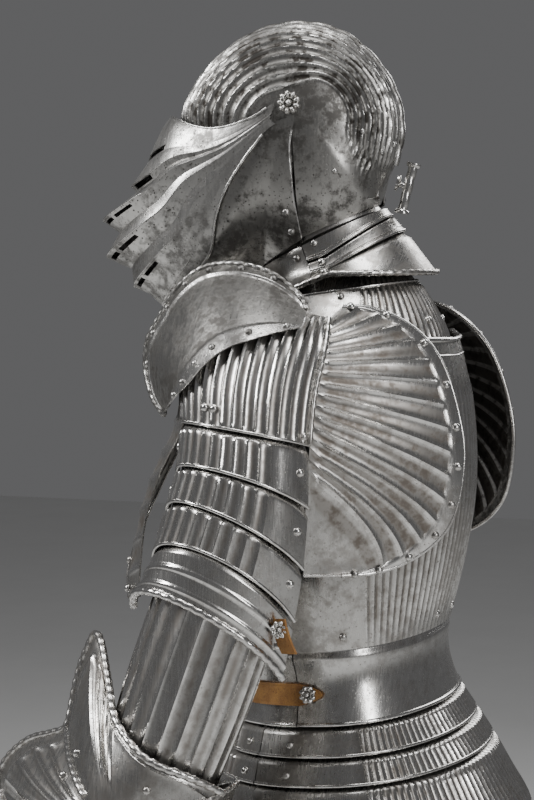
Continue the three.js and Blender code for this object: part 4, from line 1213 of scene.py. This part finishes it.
# %% Couter
BEND = ELBOW + np.array([0, 0, -8])
CAP_REACH, CAP_WIDE = 82, 68
WING_LINE = [
    [21, 95, 44], [39, 85, 61], [60, 77, 66], [82, 82, 60], [100, 103, 38], [108, 138, 0], [114, 184, -45],
    [122, 174, -53], [135, 146, -46], [146, 129, -36], [155, 143, -44], [165, 173, -60], [177, 199, -64],
    [186, 194, -54], [192, 162, 14], [203, 120, 40], [219, 92, 57], [240, 84, 62], [259, 95, 44]]


def around_bend(angle, reach, side):
    return np.stack([BEND[0] + side, BEND[1] + reach * np.cos(rad(angle)), BEND[2] + reach * np.sin(rad(angle))], -1)


def couter_cap(u, v):
    turn = rad(mix(-78, 78, u))
    flare = 1 + 0.16 * np.maximum(0, 1 - np.minimum(v, 1 - v) * 8)
    return around_bend(mix(20, -100, v), CAP_REACH * np.cos(turn) ** 0.7 * flare, CAP_WIDE * spow(np.sin(turn), 0.85))


def wing_row(u):
    line = np.array(WING_LINE, float)
    keys = np.linspace(0, 1, len(line))
    return smooth(np.column_stack([keys, line]))(u)


def couter_wing(u, v):
    row = wing_row(u)
    angle, edge, out = (row[..., k] for k in range(3))
    reach = mix(24, edge, v)
    near_cap = np.maximum(0, 1 - np.minimum(u, 1 - u) * 8)
    round_cap = CAP_WIDE * np.sqrt(np.clip(1 - (reach / (CAP_REACH * 1.2)) ** 2, 0, 1))
    return around_bend(angle, reach, mix(mix(71, out, v ** 1.7), round_cap, near_cap * 0.8))


wing_crests = np.array([0.235, 0.262, 0.289, 0.316, 0.343, 0.56, 0.595, 0.63, 0.665, 0.7])


def couter_relief(u, v):
    fan = crest_height(u, wing_crests, 0.009, 0.0) * 3.0 * ramp(v, 0.2, 0.4) * ramp(v, 0.9, 0.84)
    return fan + 1.8 * ramp(v, 0.86, 0.875) * ramp(v, 0.9, 0.885)


wing_columns = columns_for(wing_crests, 0.009, np.linspace(0, 1, 110))
wing_rows = np.unique(np.concatenate([even(22), [0.865, 0.88, 0.89]]))
couter_parts = [sheet(couter_wing, wing_columns, wing_rows, couter_relief),
                rope(edge_of(couter_wing, 1.0, 200), 4.2, pitch=11),
                rope([couter_wing(np.array(0.5), np.array(v)) for v in np.linspace(0.25, 0.97, 40)], 4.0, pitch=11)]
couter_parts += rivets(couter_wing, [(0.55, 0.55), (0.45, 0.55), (0.1, 0.5), (0.9, 0.5)], 3.2)
pair("couter_wing", couter_parts, plate_steel)
cap_crests = np.array([0.3, 0.36, 0.42, 0.5, 0.58, 0.64, 0.7])
cap_parts = [sheet(couter_cap, columns_for(cap_crests, 0.012, even(20)), even(22), fluted(cap_crests, 0.012, 1.8, 0.12, 0.88)),
             rope(edge_of(couter_cap, 0.0), 3.6), rope(edge_of(couter_cap, 1.0), 3.6)]
pair("couter_cap", cap_parts, plate_steel)
print("wing columns:", len(wing_columns))

# %% [markdown]
# ## The gauntlets
# A gauntlet is a flared cuff and a hand of short lames that curl over the fingers. It is open under
# the palm. The hand follows a bent spine, one bone per lame.

# %% Gauntlet
cuff = limb(forearm(196), forearm(292), [[0, 60, 58], [0.5, 47, 45], [1, 43, 34]])
bones = smooth([[0, 45, 29, 0], [0.35, 50, 29, 0], [0.6, 50, 27, 14], [0.8, 46, 24, 52], [1, 40, 20, 96]])
spine = [forearm(286)]
for k in range(1, 6):
    curl = rad(bones(k / 5)[2])
    spine.append(spine[-1] + (forward * math.cos(curl) - up * math.sin(curl)) * 32)
spine = np.array(spine)


def hand(u, v):
    place = np.clip(v * 5, 0, 4.9999)
    k = np.floor(place).astype(int)
    centre = mix(spine[k], spine[k + 1], (place - k)[..., None])
    size = bones(v)
    lift = up * np.cos(rad(size[..., 2]))[..., None] + forward * np.sin(rad(size[..., 2]))[..., None]
    turn = rad(mix(-14, 194, u))
    return centre + right * (size[..., 0] * np.cos(turn))[..., None] + lift * (size[..., 1] * np.sin(turn))[..., None]


def hand_relief(u, v):
    step = np.mod(v * 8, 1)
    return 1.4 * step + 1.6 * np.exp(-((u - 0.5) / 0.02) ** 2)


columns, relief = ring_flutes(18, 0.009, 1.5, 0.1, 0.9)
hand_rows = np.unique(np.concatenate([even(22), np.arange(1, 8) / 8 - 0.002, np.arange(1, 8) / 8 + 0.002]))
gauntlet_parts = [sheet(cuff, columns, even(20), relief, wrap=True), rope(edge_of(cuff, 0.0), 3.2, closed=True),
                  sheet(hand, even(60), hand_rows, hand_relief)]
pair("gauntlet", gauntlet_parts, plate_steel)
print("finger lames: 8, spine points:", len(spine))

# %% [markdown]
# ## The legs
# Cuisse, poleyn, greave and sabaton stand under the skirt of the suit. They are the same kinds of
# tube as the arms, open behind the thigh and the knee, with fewer flutes.

# %% Legs
HIP, KNEE, ANKLE = np.array([104.0, 48, -540]), np.array([118.0, 6, -930]), np.array([128.0, 22, -1316])
FLOOR = -1400


def between(a, b, t):
    return a + (b - a) * t


cuisse = limb(between(HIP, KNEE, 0.16), between(HIP, KNEE, 0.85), [[0, 86, 92], [0.5, 82, 88], [1, 68, 72]], (-50, 230))
crests = np.linspace(0.1, 0.9, 15)
pair("cuisse", [sheet(cuisse, columns_for(crests, 0.01), even(30), fluted(crests, 0.01, 1.8, 0.08, 0.9)),
                rope(edge_of(cuisse, 0.0), 3.2)], plate_steel)
poleyn = limb(between(HIP, KNEE, 0.8), between(KNEE, ANKLE, 0.14), [[0, 76, 80], [0.5, 72, 82], [1, 68, 76]],
              (-42, 222), (0, -8, 0))


def poleyn_wing(u, v):
    turn = rad(mix(-78, 78, u))
    reach = mix(20, 74, v)
    return np.stack([KNEE[0] + mix(65, 92, v ** 0.7), KNEE[1] + 14 + reach * np.cos(turn),
                     KNEE[2] + reach * 0.85 * np.sin(turn)], -1)


fan = np.linspace(0.12, 0.88, 7)
pair("poleyn", [sheet(poleyn, even(44), even(16)), rope(edge_of(poleyn, 0.0), 3.0), rope(edge_of(poleyn, 1.0), 3.0),
                sheet(poleyn_wing, columns_for(fan, 0.02), even(20), fluted(fan, 0.02, 1.8, 0.2, 0.9)),
                rope(edge_of(poleyn_wing, 1.0), 3.0)], bright_steel)
greave = limb(between(KNEE, ANKLE, 0.1), between(KNEE, ANKLE, 0.98),
              [[0, 60, 62], [0.3, 61, 66], [0.7, 46, 50], [1, 44, 50]])


def greave_relief(u, v):
    return 2.0 * np.exp(-((np.mod(u, 1) - 0.25) / 0.008) ** 2) + 0.0 * v


pair("greave", [sheet(greave, columns_for([0.25], 0.008, even(60)), even(22), greave_relief, wrap=True),
                tube(edge_of(greave, 0.0), 2.0, 8, 4, closed=True)], plate_steel)
foot_shape = smooth([[0, 38, 72], [0.12, 50, 78], [0.3, 50, 78], [0.55, 54, 64], [0.8, 64, 44], [0.94, 62, 34], [1, 50, 20]])


def sabaton(u, v):
    size = foot_shape(v)
    turn = rad(180 * u)
    return np.stack([ANKLE[0] + 16 * v + size[..., 0] * spow(np.cos(turn), 0.8), ANKLE[1] + 62 - 300 * v,
                     FLOOR + size[..., 1] * spow(np.sin(turn), 0.8)], -1)


def sabaton_relief(u, v):
    return 1.3 * np.mod(v * 9, 1) * ramp(v, 0.3, 0.34) * ramp(v, 0.9, 0.86) * np.sin(np.pi * u) ** 0.3


sabaton_rows = np.unique(np.concatenate([even(50), np.arange(3, 9) / 9 - 0.002, np.arange(3, 9) / 9 + 0.002]))
pair("sabaton", [sheet(sabaton, even(50), sabaton_rows, sabaton_relief)], plate_steel)
print("pieces so far:", total)

# %% [markdown]
# ## Straps
# Leather joins the plates. One strap goes round each side of the waist, made from the waist's own
# surface moved outward, and one hangs from the roped lame over the upper arm. Each carries a small
# flower-headed stud.

# %% Straps
def waist_strap(u, v):
    width = 11 * np.minimum(1, np.sqrt(np.maximum(0.02, (1 - u) * 4)))
    return torso_point(mix(50, 88, u), -381 + mix(width, -width, v), 2.6 + 1.8)


def strap_relief(u, v):
    return -0.5 * (np.exp(-((v - 0.13) / 0.025) ** 2) + np.exp(-((v - 0.87) / 0.025) ** 2)) + 0.0 * u


strap_columns = np.unique(np.concatenate([even(60), 1 - np.geomspace(0.002, 0.2, 14)]))
stud_at = waist_strap(np.array(0.86), np.array(0.5))
stud_normal = normals_of(waist_strap, np.array(0.86), np.array(0.5))
stud_normal = stud_normal * np.sign(stud_normal[0])
waist_strap_sheet = sheet(waist_strap, strap_columns, even(24), strap_relief, thick=2.6)
for side, mirror in (("l", False), ("r", True)):
    piece(f"waist_strap_{side}", [(*waist_strap_sheet[:2], waist_strap_sheet[2] * 0, waist_strap_sheet[3])],
          strap_leather, place=trunk_place, mirror=mirror)


def arm_strap(u, v):
    top = arm_point(np.array(4.3), np.array(58.0), 4.6)
    low = top + np.array([0.0, 12.0, -34.0])
    middle = mix(top, low, v[..., None])
    return middle + np.array([0.35, 0.93, 0.1]) * ((u - 0.5) * 18)[..., None] + np.array([0.9, -0.35, 0]) * (
        bump(v) * 2)[..., None]


arm_strap_sheet = sheet(arm_strap, even(16), even(24), lambda u, v: strap_relief(v, u), thick=2.4)
arm_stud = arm_strap(np.array(0.5), np.array(0.3))
# the studs and the short arm straps stand on other plates and have no solid of their own
for side, mirror in (("l", False), ("r", True)):
    piece(f"waist_stud_{side}", [flower(stud_at, stud_normal, 9.5, 8, 5.0)], bright_steel,
          place=trunk_place, mirror=mirror, nodes=())
    piece(f"arm_strap_{side}", [(*arm_strap_sheet[:2], arm_strap_sheet[2] * 0, arm_strap_sheet[3])],
          strap_leather, mirror=mirror, nodes=())
    piece(f"arm_stud_{side}", [flower(arm_stud, [0.93, 0.36, 0], 9.0, 8, 5.0)], bright_steel,
          mirror=mirror, nodes=())
print("all pieces:", total)

# %% [markdown]
# ## Floor, light and camera
# Steel shows what stands round it, so the light does most of the work: large soft panels in a dim
# room give long highlights with dark bands between them. The floor is plain and pale.

# %% Stage
floor_mesh = bpy.data.meshes.new("floor")
floor_mesh.from_pydata([(-9, -9, 0), (9, -9, 0), (9, 9, 0), (-9, 9, 0)], [], [(0, 1, 2, 3)])
floor = bpy.data.objects.new("floor", floor_mesh)
floor.location.z = (FLOOR - 1) * MM
bpy.context.scene.collection.objects.link(floor)
floor_material = bpy.data.materials.new("pale floor")
floor_material.use_nodes = True
tree = floor_material.node_tree
where = node(tree, "ShaderNodeTexCoord").outputs["Object"]
tone = blend_colours(tree, noise(tree, where, 3.0), (0.72, 0.72, 0.71, 1), (0.8, 0.8, 0.79, 1))
tree.links.new(tone, tree.nodes["Principled BSDF"].inputs["Base Color"])
tree.nodes["Principled BSDF"].inputs["Roughness"].default_value = 0.7
floor_mesh.materials.append(floor_material)

world = bpy.data.worlds.new("studio")
world.use_nodes = True
world.node_tree.nodes["Background"].inputs["Color"].default_value = (0.5, 0.5, 0.51, 1)
world.node_tree.nodes["Background"].inputs["Strength"].default_value = 0.24
bpy.context.scene.world = world


def panel(name, place, towards, size, power):
    data = bpy.data.lights.new(name, "AREA")
    data.shape, data.size, data.size_y, data.energy = "RECTANGLE", size[0], size[1], power
    lamp = bpy.data.objects.new(name, data)
    lamp.location = place
    lamp.rotation_euler = (Vector(towards) - Vector(place)).to_track_quat("-Z", "Y").to_euler()
    bpy.context.scene.collection.objects.link(lamp)


panel("front panel", (1.3, -2.3, 1.8), (0, 0, -0.1), (0.7, 1.6), 84)
panel("top panel", (0.5, 0.3, 2.5), (0, 0, 0), (1.4, 1.0), 40)
panel("rear panel", (1.5, 2.4, 0.7), (0, 0, -0.2), (0.6, 1.9), 36)
panel("far panel", (-2.4, 0.6, 1.2), (0, 0, -0.1), (1.0, 1.6), 30)

camera_data = bpy.data.cameras.new("camera")
camera_data.sensor_fit = "AUTO"
camera_data.sensor_width = camera_data.sensor_height = 36
camera_data.lens = 89.3
camera = bpy.data.objects.new("camera", camera_data)
camera.location = (2.0623, 0.6706, 0.0655)
camera.rotation_euler = (Vector((0, -0.08, -0.088)) - camera.location).to_track_quat("-Z", "Y").to_euler()
bpy.context.scene.collection.objects.link(camera)
bpy.context.scene.camera = camera

# %% Sizes and finish
print("triangles in all:", total["triangles"])
